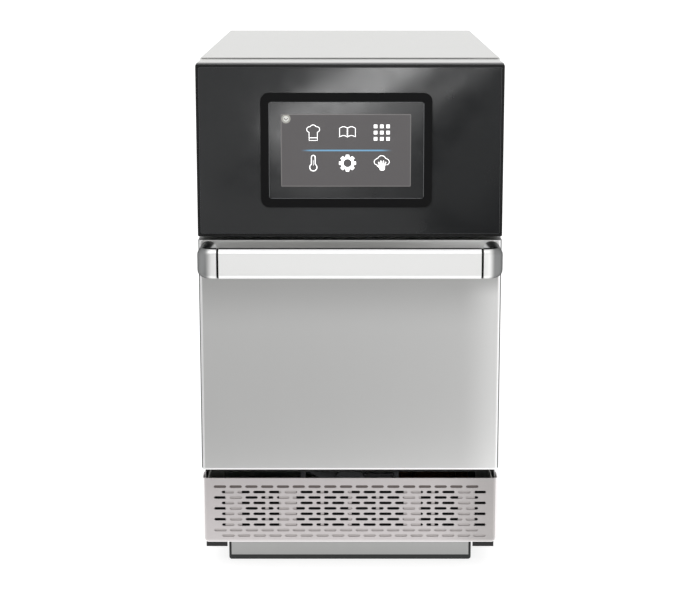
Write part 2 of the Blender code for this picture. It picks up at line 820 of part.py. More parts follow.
def control_housing():
    """The folded head: open at the back, with a window in its front wall behind the screen."""

    def side_edge(middle):
        return middle.z > HEAD_TOP - SHEET and abs(middle.x) > HALF_WIDTH - SHEET

    def front_edge(middle):
        return middle.z > HEAD_TOP - SHEET and middle.y < behind(HEAD_FRAME_DEPTH + SHEET)

    housing = block(
        "control_housing",
        (-HALF_WIDTH, HALF_WIDTH),
        (behind(HEAD_FRAME_DEPTH + SEAT_GAP), behind(HEAD_DEPTH)),
        (HEAD_Z, HEAD_TOP),
        rounds=((1, HEAD_CORNER, 2, side_edge), (0, HEAD_FRONT_ROUND, 4, front_edge)),
    )
    inside = block(
        "inside",
        (SHEET - HALF_WIDTH, HALF_WIDTH - SHEET),
        (behind(HEAD_FRAME_DEPTH + SEAT_GAP + SHEET), behind(HEAD_DEPTH + CUT_OVERRUN)),
        (HEAD_Z + SHEET, HEAD_TOP - SHEET),
        rounds=((0, HEAD_FRONT_ROUND - SHEET, 4, front_edge),),
    )
    window = block(
        "window",
        span(SCREEN_X, BEZEL_WINDOW_WIDTH + 2 * HEAD_WINDOW_MARGIN),
        (behind(HEAD_FRAME_DEPTH - CUT_OVERRUN), behind(HEAD_FRAME_DEPTH + CUT_OVERRUN)),
        span(SCREEN_Z, BEZEL_WINDOW_HEIGHT + 2 * HEAD_WINDOW_MARGIN),
    )
    cut(housing, inside)
    cut(housing, window)
    return steel(housing, "#d8d8d7", 0.36)


def control_frame():
    x = (-HALF_WIDTH, HALF_WIDTH)
    z = (HEAD_Z, HEAD_TOP - HEAD_FRAME_DROP)
    inner_x = (x[0] + HEAD_FRAME_BORDER, x[1] - HEAD_FRAME_BORDER)
    inner_z = (z[0] + HEAD_FRAME_BORDER, z[1] - HEAD_FRAME_BORDER)
    corners = (HEAD_CORNER,) * 4
    outlines = [rounded_outline(x, z, corners, 2), rounded_outline(inner_x, inner_z, corners, 2)]
    return black_part(plate("control_frame", outlines, "front", FRONT_Y, behind(HEAD_FRAME_DEPTH)), 0.35)


def control_glass():
    inset = HEAD_FRAME_BORDER + SEAT_GAP
    edge = rounded_outline(
        (inset - HALF_WIDTH, HALF_WIDTH - inset),
        (HEAD_Z + inset, HEAD_TOP - HEAD_FRAME_DROP - inset),
        (HEAD_CORNER,) * 4,
        2,
    )
    opening = rounded_outline(
        span(SCREEN_X, BEZEL_WINDOW_WIDTH + 2 * SCREEN_LAP),
        span(SCREEN_Z, BEZEL_WINDOW_HEIGHT + 2 * SCREEN_LAP),
        (0, 0, 0, 0),
    )
    glass = plate(
        "control_glass", [edge, opening], "front", behind(GLASS_RECESS), behind(HEAD_FRAME_DEPTH)
    )
    return finish(glass, "#1b1c1e", 0.12)


def screen_bezel():
    outlines = [
        rounded_outline(
            span(SCREEN_X, BEZEL_WINDOW_WIDTH + 2 * BEZEL_SIDE_BORDER),
            span(SCREEN_Z, BEZEL_WINDOW_HEIGHT + 2 * BEZEL_UPPER_BORDER),
            (BEZEL_CORNER,) * 4,
            5,
        ),
        rounded_outline(
            span(SCREEN_X, BEZEL_WINDOW_WIDTH),
            span(SCREEN_Z, BEZEL_WINDOW_HEIGHT),
            (BEZEL_WINDOW_CORNER,) * 4,
        ),
    ]
    back = GLASS_RECESS - SEAT_GAP
    return black_part(
        plate("screen_bezel", outlines, "front", behind(back - BEZEL_THICKNESS), behind(back))
    )


def touch_screen():
    screen = block(
        "touch_screen",
        span(SCREEN_X, BEZEL_WINDOW_WIDTH + 2 * (SCREEN_LAP - SEAT_GAP)),
        (behind(GLASS_RECESS), behind(HEAD_FRAME_DEPTH)),
        span(SCREEN_Z, BEZEL_WINDOW_HEIGHT + 2 * (SCREEN_LAP - SEAT_GAP)),
    )
    return finish(screen, "#3c3a3a", 0.15)


def screen_board():
    """The board behind the screen, on four pegs."""
    width = BEZEL_WINDOW_WIDTH - 2 * SCREEN_BOARD_BORDER
    height = BEZEL_WINDOW_HEIGHT - 2 * SCREEN_BOARD_BORDER
    front = HEAD_FRAME_DEPTH + SEAT_GAP + SCREEN_BOARD_STANDOFF
    board = block(
        "screen_board",
        span(SCREEN_X, width),
        (behind(front), behind(front + BOARD_THICKNESS)),
        span(SCREEN_Z, height),
    )
    peg_front = HEAD_FRAME_DEPTH + SEAT_GAP
    length = SCREEN_BOARD_STANDOFF + BOARD_THICKNESS / 2

    def peg(bm, place):
        centre = (
            SCREEN_X + place[0] * (width / 2 - SCREEN_BOARD_BORDER),
            behind(peg_front + length / 2),
            SCREEN_Z + place[1] * (height / 2 - SCREEN_BOARD_BORDER),
        )
        rod_copy(bm, centre, (0, 1, 0), STANDOFF_RADIUS, length, FINE_SIDES)

    join(board, repeated("pegs", peg, [(-1, -1), (1, -1), (1, 1), (-1, 1)]))
    return finish(board, "#1f5a38", 0.5)


# Slotted front grille and its filter


def grille_slots():
    """Staggered rows: every second row is half a pitch to the right of the one above it."""
    width = 2 * (HALF_WIDTH - GRILLE_INSET - SLOT_SIDE_MARGIN)
    pitch = (width + SLOT_BRIDGE) / (SLOTS_PER_ROW + 0.5)
    row_pitch = (GRILLE_HEIGHT - SLOT_TOP_MARGIN - SLOT_BOTTOM_MARGIN) / (SLOT_ROWS - 1)
    for row in range(SLOT_ROWS):
        offset = (row % 2 - 0.5) * pitch / 2
        z = GRILLE_TOP - SLOT_TOP_MARGIN - row * row_pitch
        for column in range(SLOTS_PER_ROW):
            x = offset + (column - (SLOTS_PER_ROW - 1) / 2) * pitch
            yield slot_outline(x, z, pitch - SLOT_BRIDGE, SLOT_HEIGHT)


def grille_shell(name, inset, top, back):
    """The grille's outer or inner shape, with rounded lower corners and a front whose edges fold over."""
    half = HALF_WIDTH - GRILLE_INSET - inset
    bottom = GRILLE_Z + inset
    front = behind(inset)

    def lower_corner(middle):
        return middle.z < bottom + SEAT_GAP

    def front_edge(middle):
        return middle.y < front + SEAT_GAP and middle.z < top - SEAT_GAP

    return block(
        name,
        (-half, half),
        (front, behind(back)),
        (bottom, top),
        rounds=(
            (1, GRILLE_CORNER - inset, 4, lower_corner),
            (None, GRILLE_FOLD - inset, 3, front_edge),
        ),
    )


def front_grille():
    """A pan, open at the back and the top, with folded edges and the slots through its face."""
    grille = grille_shell("front_grille", 0, GRILLE_TOP, GRILLE_DEPTH)
    cut(grille, grille_shell("room", SHEET, GRILLE_TOP + CUT_OVERRUN, GRILLE_DEPTH + CUT_OVERRUN))
    through = (behind(-CUT_OVERRUN), behind(SHEET + CUT_OVERRUN / 2))
    cut(grille, plate("slots", list(grille_slots()), "front", *through))
    return steel(grille, "#cbc6c6", 0.34)


def filter_span():
    """The room between the guides and above the grille's lower fold, in X and Z."""
    half = GUIDE_INNER_X - SEAT_GAP
    return (-half, half), (GRILLE_Z + GRILLE_FOLD, GRILLE_TOP - FILTER_DROP)


def filter_uprights(half):
    """X ranges of the carrier's thin bars and broad posts, from left to right."""
    count = FILTER_BARS_PER_SIDE
    ranges = [span(n * FILTER_BAR_PITCH, FILTER_BAR) for n in range(-count, count + 1)]
    for inset in FILTER_POST_INSETS:
        ranges += [span(side * (half - inset), FILTER_POST) for _, side in SIDES]
    return sorted(ranges)


def filter_frame():
    """A carrier with upright bars and posts behind the grille."""
    x, z = filter_span()
    front = SHEET + SEAT_GAP
    outlines = [rounded_outline(x, z, (0, 0, 0, 0))]
    opening = (z[0] + FILTER_LOWER_BORDER, z[1] - FILTER_UPPER_BORDER)
    left = x[0] + FILTER_SIDE_BORDER
    right = x[1] - FILTER_SIDE_BORDER
    for low, high in [*filter_uprights(x[1]), (right, right)]:
        low, high = min(low, right), min(high, right)
        if low - left > FILTER_BAR:
            outlines.append(rounded_outline((left, low), opening, (0, 0, 0, 0)))
        left = max(left, high)
    frame = plate(
        "filter_frame", outlines, "front", behind(front), behind(front + FILTER_THICKNESS)
    )
    return steel(frame, "#9c9a9a", 0.45)


def filter_mesh():
    x, z = filter_span()
    front = SHEET + 2 * SEAT_GAP + FILTER_THICKNESS
    mesh = block("filter_mesh", x, (behind(front), behind(front + FILTER_MESH_THICKNESS)), z)
    return black_part(mesh, 0.9)


# Front frame and oven cavity


def front_frame():
    """The plate round the oven mouth, with the air intake, two plunger holes and the filter guides."""
    half = SIDE_INNER_X - SEAT_GAP
    bottom = FOOT_HEIGHT + SEAT_GAP
    top = HEAD_Z - SEAT_GAP
    mouth = rounded_outline(
        (-CAVITY_HALF, CAVITY_HALF), (CAVITY_Z, CAVITY_TOP), (CAVITY_CORNER,) * 4, 4
    )
    intake_half = HALF_WIDTH - INTAKE_SIDE_MARGIN
    intake = rounded_outline(
        (-intake_half, intake_half),
        (bottom + INTAKE_LOWER_MARGIN, GRILLE_TOP - INTAKE_UPPER_MARGIN),
        (0, 0, 0, 0),
    )
    outlines = [rounded_outline((-half, half), (bottom, top), (0, 0, 0, 0)), mouth, intake]
    hole = PLUNGER_RADIUS + PLUNGER_HOLE_CLEARANCE
    outlines += [circle_outline(side * PLUNGER_X, PLUNGER_Z, hole) for _, side in SIDES]
    frame = plate("front_frame", outlines, "front", behind(FRAME_FRONT), behind(FRAME_BACK))

    def guide(bm, side):
        box_copy(
            bm,
            mirrored(GUIDE_INNER_X, GUIDE_OUTER_X, side),
            (behind(GUIDE_FRONT), behind(FRAME_FRONT + SHEET / 2)),
            (GRILLE_Z + SHEET + GUIDE_CLEARANCE, GRILLE_TOP - GUIDE_TOP_GAP),
        )

    return steel(join(frame, repeated("guides", guide, [-1, 1])), "#c4c4c3", 0.3)


def cavity_liner():
    """The oven box, open at the mouth, the ceiling, the back wall and the waveguide's port."""
    walls = (LINER_SHEET + CAVITY_CORNER,) * 4
    outer = rounded_outline(
        (-CAVITY_HALF - LINER_SHEET, CAVITY_HALF + LINER_SHEET), (LINER_FLOOR, LINER_TOP), walls, 4
    )
    liner = plate("cavity_liner", [outer], "front", behind(CAVITY_FRONT), behind(LINER_BACK))
    inner = rounded_outline(
        (-CAVITY_HALF, CAVITY_HALF), (CAVITY_Z, CAVITY_TOP), (CAVITY_CORNER,) * 4, 4
    )
    cut(liner, plate("room", [inner], "front", behind(CAVITY_FRONT - CUT_OVERRUN), behind(CAVITY_BACK)))
    ledge = JET_INSET + CEILING_LEDGE
    ceiling = block(
        "ceiling",
        span(0, DUCT_WIDTH - 2 * ledge),
        (behind(CAVITY_FRONT + DUCT_FRONT_GAP + ledge), behind(CAVITY_BACK - ledge)),
        (CAVITY_TOP - CUT_OVERRUN, LINER_TOP + CUT_OVERRUN),
    )
    back = block(
        "back",
        span(0, BAFFLE_WIDTH - 2 * BAFFLE_LEDGE),
        (behind(CAVITY_BACK - CUT_OVERRUN), behind(LINER_BACK + CUT_OVERRUN)),
        span(CAVITY_CENTRE_Z, BAFFLE_HEIGHT - 2 * BAFFLE_LEDGE),
    )
    port = block(
        "port",
        span(0, WAVEGUIDE_NECK_WIDTH + 2 * SEAT_GAP),
        span(behind(CAVITY_MIDDLE), WAVEGUIDE_NECK_DEPTH + 2 * SEAT_GAP),
        (LINER_FLOOR - CUT_OVERRUN, CAVITY_Z + CUT_OVERRUN),
    )
    for opening in (ceiling, back, port):
        cut(liner, opening)
    return steel(liner, "#bdbdbb", 0.28)


def jet_plate():
    """A shallow pan of air jets against the ceiling."""
    half = DUCT_WIDTH / 2 - JET_INSET
    front = CAVITY_FRONT + DUCT_FRONT_GAP + JET_INSET
    back = CAVITY_BACK - JET_INSET
    top = CAVITY_TOP - SEAT_GAP
    pan = block("jet_plate", (-half, half), (behind(front), behind(back)), (top - JET_DROP, top))
    room = block(
        "room",
        (SHEET - half, half - SHEET),
        (behind(front + SHEET), behind(back - SHEET)),
        (top - JET_DROP + SHEET, top + CUT_OVERRUN),
    )
    cut(pan, room)
    middle = behind((front + back) / 2)
    count = JET_HOLES_PER_SIDE

    def jet(bm, place):
        x = (place[0] - (count - 1) / 2) * JET_HOLE_PITCH
        y = middle + (place[1] - (count - 1) / 2) * JET_HOLE_PITCH
        rod_copy(bm, (x, y, top - JET_DROP), (0, 0, 1), JET_HOLE_RADIUS, 2 * CUT_OVERRUN, 8)

    places = [(column, row) for column in range(count) for row in range(count)]
    cut(pan, repeated("jets", jet, places))
    return steel(pan, "#b3b3b1", 0.3)


def air_baffle():
    """The perforated cover of the return air opening in the back wall."""
    outlines = [
        rounded_outline(
            span(0, BAFFLE_WIDTH), span(CAVITY_CENTRE_Z, BAFFLE_HEIGHT), (BAFFLE_LEDGE,) * 4
        )
    ]
    for row in range(BAFFLE_HOLE_ROWS):
        for column in range(BAFFLE_HOLE_COLUMNS):
            x = (column - (BAFFLE_HOLE_COLUMNS - 1) / 2) * BAFFLE_HOLE_PITCH
            z = CAVITY_CENTRE_Z + (row - (BAFFLE_HOLE_ROWS - 1) / 2) * BAFFLE_HOLE_PITCH
            outlines.append(circle_outline(x, z, BAFFLE_HOLE_RADIUS, 10))
    back = behind(CAVITY_BACK) - SEAT_GAP
    return steel(plate("air_baffle", outlines, "front", back - SHEET, back), "#b3b3b1", 0.3)


def cook_plate():
    """A shallow inverted tray that stands on the cavity floor."""
    half = CAVITY_HALF - CAVITY_CORNER - COOK_PLATE_MARGIN
    front, back = CAVITY_FRONT + COOK_PLATE_FRONT_GAP, CAVITY_BACK - JET_INSET
    foot = CAVITY_Z + SEAT_GAP
    top = foot + COOK_PLATE_HEIGHT
    tray = block(
        "cook_plate",
        (-half, half),
        (behind(front), behind(back)),
        (foot, top),
        rounds=((2, CAVITY_CORNER, 3, every_edge),),
    )
    wall = COOK_PLATE_SHEET
    under = block(
        "under",
        (wall - half, half - wall),
        (behind(front + wall), behind(back - wall)),
        (foot - CUT_OVERRUN, top - wall),
        rounds=((2, CAVITY_CORNER - wall, 3, every_edge),),
    )
    return finish(cut(tray, under), "#8f9092", 0.45, 1.0)


# Hot air side


def duct_outline(wall, opened):
    """The L of the duct in Y, Z: over the ceiling, then down behind the back wall."""
    front = behind(CAVITY_FRONT + DUCT_FRONT_GAP) + wall
    back = behind(DUCT_BACK) - wall
    top = DUCT_TOP - wall
    foot = CAVITY_Z + DUCT_RISE + wall
    rear = behind(LINER_BACK) + SEAT_GAP - opened
    under = DUCT_Z - opened
    return [(front, under), (front, top), (back, top), (back, foot), (rear, foot), (rear, under)]


def hot_air_duct():
    half = DUCT_WIDTH / 2
    duct = plate("hot_air_duct", [duct_outline(0, 0)], "side", -half, half)
    room = duct_outline(SHEET, CUT_OVERRUN)
    cut(duct, plate("room", [room], "side", SHEET - half, half - SHEET))
    wall = behind(DUCT_BACK)
    hole = FAN_SHAFT_RADIUS + SHAFT_HOLE_CLEARANCE
    places = [((0, wall, CAVITY_CENTRE_Z), hole)]
    tail_hole = HEATER_TUBE_RADIUS + SEAT_GAP
    places += [((x, wall, z), tail_hole) for x, z in heater_ends()]

    def drill(bm, place):
        rod_copy(bm, place[0], (0, 1, 0), place[1], 2 * CUT_OVERRUN, FINE_SIDES)

    return steel(cut(duct, repeated("drill", drill, places)), "#a9a9a7", 0.4)


def heater_ring():
    """The points of the heater's ring, open at the bottom by the heater's spread."""
    start = -math.pi / 2 + HEATER_SPREAD
    sweep = 2 * (math.pi - HEATER_SPREAD)
    for n in range(HEATER_POINTS):
        angle = start + sweep * n / (HEATER_POINTS - 1)
        yield HEATER_RADIUS * math.cos(angle), CAVITY_CENTRE_Z + HEATER_RADIUS * math.sin(angle)


def heater_ends():
    ring = list(heater_ring())
    return ring[0], ring[-1]


def heater_element():
    """A tubular ring round the impeller, its two ends out through the duct's back wall."""
    depth = behind(DUCT_BACK - HEATER_BACK_GAP)
    tail = behind(DUCT_BACK + HEATER_TAIL)
    ring = [(x, depth, z) for x, z in heater_ring()]
    first, last = ring[0], ring[-1]
    path = [(first[0], tail, first[2]), *ring, (last[0], tail, last[2])]
    return finish(tube("heater_element", path, HEATER_TUBE_RADIUS, 1), "#3a3735", 0.55, 0.6)


def catalyst():
    """A honeycomb block behind the air baffle."""
    width = BAFFLE_WIDTH - 2 * BAFFLE_LEDGE - 2 * CATALYST_WEB
    height = BAFFLE_HEIGHT - 2 * BAFFLE_LEDGE - 2 * CATALYST_WEB
    x = span(0, width + 4 * CATALYST_WEB)
    z = span(CAVITY_CENTRE_Z, height + 4 * CATALYST_WEB)
    outlines = [rounded_outline(x, z, (0, 0, 0, 0))]
    cell_x = (width - (CATALYST_CELLS - 1) * CATALYST_WEB) / CATALYST_CELLS
    cell_z = (height - (CATALYST_CELLS - 1) * CATALYST_WEB) / CATALYST_CELLS
    for column in range(CATALYST_CELLS):
        for row in range(CATALYST_CELLS):
            left = column * (cell_x + CATALYST_WEB) - width / 2
            low = CAVITY_CENTRE_Z + row * (cell_z + CATALYST_WEB) - height / 2
            outlines.append(
                rounded_outline((left, left + cell_x), (low, low + cell_z), (0, 0, 0, 0))
            )
    front = behind(LINER_BACK) + SEAT_GAP
    block_of_cells = plate("catalyst", outlines, "front", front, front + CATALYST_THICKNESS)
    return finish(block_of_cells, "#9a938a", 0.8)


def convection_impeller():
    """A disc with leaning blades on a hub and a shaft that runs back into the motor."""
    back = DUCT_BACK - SHEET - IMPELLER_BACK_GAP
    disc_y = behind(back - IMPELLER_DISC / 2)
    centre = (0, disc_y, CAVITY_CENTRE_Z)
    impeller = cylinder(
        "convection_impeller", centre, (0, 1, 0), IMPELLER_RADIUS, IMPELLER_DISC, ROUND_SIDES
    )
    front = -IMPELLER_DISC / 2 - IMPELLER_BLADE
    tip = IMPELLER_RADIUS - IMPELLER_DISC

    def blade(bm, n):
        lean = Matrix.Rotation(IMPELLER_BLADE_LEAN, 4, "Y")
        turn = Matrix.Rotation(2 * math.pi * n / IMPELLER_BLADES, 4, "Y")
        out = Matrix.Translation((tip - IMPELLER_BLADE_LENGTH / 2, 0, 0))
        box_copy(
            bm,
            span(0, IMPELLER_BLADE_LENGTH),
            (front, 0),
            span(0, IMPELLER_BLADE_THICKNESS),
            Matrix.Translation(centre) @ turn @ out @ lean,
        )

    join(impeller, repeated("blades", blade, range(IMPELLER_BLADES)))
    hub_length = IMPELLER_BLADE + IMPELLER_DISC
    hub_centre = (0, disc_y - IMPELLER_BLADE / 2, CAVITY_CENTRE_Z)
    join(impeller, cylinder("hub", hub_centre, (0, 1, 0), IMPELLER_HUB_RADIUS, hub_length, FINE_SIDES))
    shaft_end = DUCT_BACK + MOTOR_STANDOFF + MOTOR_BORE_DEPTH - SEAT_GAP
    shaft_length = shaft_end - back + IMPELLER_DISC
    shaft_centre = (0, behind(shaft_end - shaft_length / 2), CAVITY_CENTRE_Z)
    join(impeller, cylinder("shaft", shaft_centre, (0, 1, 0), FAN_SHAFT_RADIUS, shaft_length, FINE_SIDES))
    return steel(impeller, "#a3a3a1", 0.4)


def convection_motor():
    """A motor can on four studs, with the bore that the shaft turns in."""
    front = DUCT_BACK + MOTOR_STANDOFF
    bore = FAN_SHAFT_RADIUS + SEAT_GAP
    edge = MOTOR_EDGE_ROUND
    end = -MOTOR_LENGTH
    profile = [
        (bore, 0),
        (MOTOR_RADIUS - edge, 0),
        (MOTOR_RADIUS, -edge),
        (MOTOR_RADIUS, end + edge),
        (MOTOR_RADIUS - edge, end),
        (0, end),
        (0, -MOTOR_BORE_DEPTH),
        (bore, -MOTOR_BORE_DEPTH),
    ]
    place = (0, behind(front), CAVITY_CENTRE_Z)
    motor = turned("convection_motor", profile, place, (0, -1, 0), ROUND_SIDES)
    length = MOTOR_STANDOFF - SEAT_GAP + edge
    middle = behind(DUCT_BACK + SEAT_GAP + length / 2)
    reach = MOTOR_STUD_CIRCLE / math.sqrt(2)

    def stud(bm, place):
        centre = (place[0] * reach, middle, CAVITY_CENTRE_Z + place[1] * reach)
        rod_copy(bm, centre, (0, 1, 0), MOTOR_STUD_RADIUS, length, 8)

    join(motor, repeated("studs", stud, [(-1, -1), (1, -1), (1, 1), (-1, 1)]))
    return finish(motor, "#6e7073", 0.5, 0.8)


def insulation_jacket():
    """Blanket over the sides and the top of the cavity, cut round the duct and the door switches."""
    outer = SIDE_INNER_X - SEAT_GAP
    inner = CAVITY_HALF + LINER_SHEET + SEAT_GAP
    foot = LINER_FLOOR
    under = LINER_TOP + SEAT_GAP
    outline = [(outer, foot), (outer, JACKET_TOP), (-outer, JACKET_TOP), (-outer, foot)]
    outline += [(-inner, foot), (-inner, under), (inner, under), (inner, foot)]
    jacket = plate(
        "insulation_jacket", [outline], "front", behind(FRAME_BACK + SEAT_GAP), behind(LINER_BACK)
    )
    ahead = block(
        "ahead",
        (-HALF_WIDTH, HALF_WIDTH),
        (behind(FRAME_FRONT), behind(HEAD_DEPTH + SEAT_GAP)),
        (HEAD_Z - SEAT_GAP, JACKET_TOP + CUT_OVERRUN),
    )
    duct = block(
        "duct",
        span(0, DUCT_WIDTH + 2 * SEAT_GAP),
        (behind(CAVITY_FRONT + DUCT_FRONT_GAP - SEAT_GAP), behind(LINER_BACK + CUT_OVERRUN)),
        (under - CUT_OVERRUN, DUCT_TOP + SEAT_GAP),
    )
    cut(jacket, ahead)
    cut(jacket, duct)

    def pocket(bm, side):
        box_copy(
            bm,
            span(side * PLUNGER_X, SWITCH_WIDTH + 2 * SEAT_GAP),
            (behind(FRAME_BACK), behind(FRAME_BACK + SWITCH_LENGTH + 2 * SEAT_GAP)),
            span(PLUNGER_Z, SWITCH_WIDTH + 2 * SEAT_GAP),
        )

    cut(jacket, repeated("pockets", pocket, [-1, 1]))
    return finish(jacket, "#cfc6a6", 0.95)


def insulation_floor():
    half = SIDE_INNER_X - SEAT_GAP
    slab = block(
        "insulation_floor",
        (-half, half),
        (behind(FRAME_BACK + SEAT_GAP), behind(LINER_BACK)),
        (FLOOR_INSULATION_Z, LINER_FLOOR - SEAT_GAP),
    )
    port = block(
        "port",
        span(0, WAVEGUIDE_NECK_WIDTH + 2 * SEAT_GAP),
        span(behind(CAVITY_MIDDLE), WAVEGUIDE_NECK_DEPTH + 2 * SEAT_GAP),
        (FLOOR_INSULATION_Z - CUT_OVERRUN, LINER_FLOOR + CUT_OVERRUN),
    )
    return finish(cut(slab, port), "#cfc6a6", 0.95)


# Microwave side


def waveguide():
    """A flat duct under the oven with a neck up to the port in the cavity floor."""
    wall = WAVEGUIDE_WALL
    y = (behind(WAVEGUIDE_FRONT), behind(WAVEGUIDE_FRONT + WAVEGUIDE_LENGTH))
    guide = block("waveguide", span(0, WAVEGUIDE_WIDTH), y, (WAVEGUIDE_Z, WAVEGUIDE_TOP))
    neck = block(
        "neck",
        span(0, WAVEGUIDE_NECK_WIDTH),
        span(behind(CAVITY_MIDDLE), WAVEGUIDE_NECK_DEPTH),
        (WAVEGUIDE_TOP - wall, CAVITY_Z),
    )
    room = block(
        "room",
        span(0, WAVEGUIDE_WIDTH - 2 * wall),
        (y[0] + wall, y[1] - wall),
        (WAVEGUIDE_Z + wall, WAVEGUIDE_TOP - wall),
    )
    throat = block(
        "throat",
        span(0, WAVEGUIDE_NECK_WIDTH - 2 * wall),
        span(behind(CAVITY_MIDDLE), WAVEGUIDE_NECK_DEPTH - 2 * wall),
        (WAVEGUIDE_TOP - 2 * wall, CAVITY_Z + CUT_OVERRUN),
    )
    antenna_hole = cylinder(
        "antenna_hole",
        (0, behind(MAGNETRON_CENTRE), WAVEGUIDE_Z),
        (0, 0, 1),
        ANTENNA_RADIUS + SEAT_GAP,
        2 * CUT_OVERRUN,
        FINE_SIDES,
    )
    join(guide, neck)
    for cutter in (room, throat, antenna_hole):
        cut(guide, cutter)
    return finish(guide, "#b5b6b8", 0.35, 1.0)


def magnetron():
    """Two yoke plates, cooling fins on a core between them, and the antenna up into the waveguide."""
    top = WAVEGUIDE_Z - SEAT_GAP
    bottom = top - MAGNETRON_HEIGHT
    x = span(0, MAGNETRON_WIDTH)
    y = span(behind(MAGNETRON_CENTRE), MAGNETRON_DEPTH)
    body = block("magnetron", x, y, (top - MAGNETRON_PLATE, top))
    half = MAGNETRON_WIDTH / 2
    edge = MAGNETRON_PLATE

    def yoke(bm, kind):
        if kind == "plate":
            box_copy(bm, x, y, (bottom, bottom + edge))
        else:
            side = mirrored(half - edge, half, kind)
            inset = (y[0] + edge, y[1] - edge)
            box_copy(bm, side, inset, (bottom + edge / 2, top - edge / 2))

    join(body, repeated("yoke_plate", yoke, ["plate"]))
    join(body, repeated("yoke_sides", yoke, [-1, 1]))
    centre_z = (top + bottom) / 2
    core_place = (0, behind(MAGNETRON_CENTRE), centre_z)
    core = cylinder(
        "core", core_place, (0, 0, 1), MAGNETRON_CORE_RADIUS, MAGNETRON_HEIGHT - edge, FINE_SIDES
    )
    join(body, core)
    step = MAGNETRON_HEIGHT / (MAGNETRON_FINS + 1)

    def fin(bm, n):
        z = bottom + (n + 1) * step
        fin_y = (y[0] + MAGNETRON_FIN_INSET, y[1] - MAGNETRON_FIN_INSET)
        box_copy(bm, span(0, MAGNETRON_WIDTH - edge), fin_y, span(z, MAGNETRON_FIN))

    join(body, repeated("fins", fin, range(MAGNETRON_FINS)))
    length = ANTENNA_LENGTH + edge / 2
    antenna_z = top - edge / 2 + length / 2
    place = (0, behind(MAGNETRON_CENTRE), antenna_z)
    join(body, cylinder("antenna", place, (0, 0, 1), ANTENNA_RADIUS, length, FINE_SIDES))
    return finish(body, "#8d8f92", 0.4, 1.0)


def hv_transformer():
    """A laminated core standing on the base, its winding bulging front and back."""
    outer = SIDE_INNER_X - TRANSFORMER_SIDE_GAP
    x = (outer - TRANSFORMER_WIDTH, outer)
    y = (behind(TRANSFORMER_FRONT), behind(TRANSFORMER_FRONT + TRANSFORMER_DEPTH))
    foot = FOOT_HEIGHT + SEAT_GAP
    z = (foot, foot + TRANSFORMER_HEIGHT)
    bulge = TRANSFORMER_COIL_BULGE
    core = block("hv_transformer", x, (y[0] + bulge, y[1] - bulge), z)
    inset = TRANSFORMER_COIL_INSET
    coil = block(
        "coil",
        (x[0] + inset, x[1] - inset),
        y,
        (z[0] + TRANSFORMER_YOKE, z[1] - TRANSFORMER_YOKE / 2),
        rounds=((2, bulge / 2, 2, every_edge),),
    )
    return finish(join(core, coil), "#5c4636", 0.6, 0.4)


def hv_capacitor():
    """An oval can standing on the base with two terminals."""
    outer = SIDE_INNER_X - CAPACITOR_SIDE_GAP
    foot = FOOT_HEIGHT + SEAT_GAP
    x = (outer - CAPACITOR_WIDTH, outer)
    y = (behind(CAPACITOR_FRONT), behind(CAPACITOR_FRONT + CAPACITOR_DEPTH))
    radius = CAPACITOR_WIDTH / 2 - SEAT_GAP
    can = block(
        "hv_capacitor",
        x,
        y,
        (foot, foot + CAPACITOR_HEIGHT),
        rounds=((2, radius, 4, every_edge),),
    )
    centre_x, centre_y = (x[0] + x[1]) / 2, (y[0] + y[1]) / 2
    middle = foot + CAPACITOR_HEIGHT + TERMINAL_HEIGHT / 2 - SHEET

    def terminal(bm, side):
        centre = (centre_x, centre_y + side * TERMINAL_SPREAD, middle)
        rod_copy(bm, centre, (0, 0, 1), TERMINAL_RADIUS, TERMINAL_HEIGHT, 8)

    join(can, repeated("terminals", terminal, [-1, 1]))
    return finish(can, "#aab0b3", 0.35, 1.0)


# Cooling fan


def fan_hub_front():
    """Depth of the plane where the fan's rotor ends and the hub on the frame's arms begins."""
    return FAN_FRONT + FAN_FRONT_GAP + FAN_ROTOR_DEPTH + SEAT_GAP


def cooling_fan_frame():
    """A square frame with a round bore and four arms that hold the hub."""
    bore = FAN_SIZE / 2 - FAN_FRAME_WALL
    outlines = [
        rounded_outline(span(0, FAN_SIZE), span(FAN_CENTRE_Z, FAN_SIZE), (FAN_CORNER,) * 4),
        circle_outline(0, FAN_CENTRE_Z, bore, 2 * FINE_SIDES),
    ]
    frame = plate(
        "cooling_fan_frame", outlines, "front", behind(FAN_FRONT), behind(FAN_FRONT + FAN_FRAME_DEPTH)
    )
    rear = (behind(fan_hub_front()), behind(fan_hub_front() + FAN_ARM_THICKNESS))
    centre = (0, FAN_CENTRE_Z)
    hub_outlines = [circle_outline(*centre, FAN_HUB_RADIUS), circle_outline(*centre, FAN_SHAFT + SEAT_GAP)]
    hub = plate("hub", hub_outlines, "front", *rear)
    inner = FAN_HUB_RADIUS - FAN_ARM_THICKNESS
    outer = bore + FAN_FRAME_WALL / 2

    def arm(bm, n):
        turn = Matrix.Rotation((n + 0.5) * math.pi / 2, 4, "Y")
        place = Matrix.Translation((0, 0, FAN_CENTRE_Z)) @ turn
        box_copy(bm, (inner, outer), rear, span(0, FAN_ARM), place)

    join(frame, hub)
    join(frame, repeated("arms", arm, range(4)))
    return black_part(frame, 0.55)


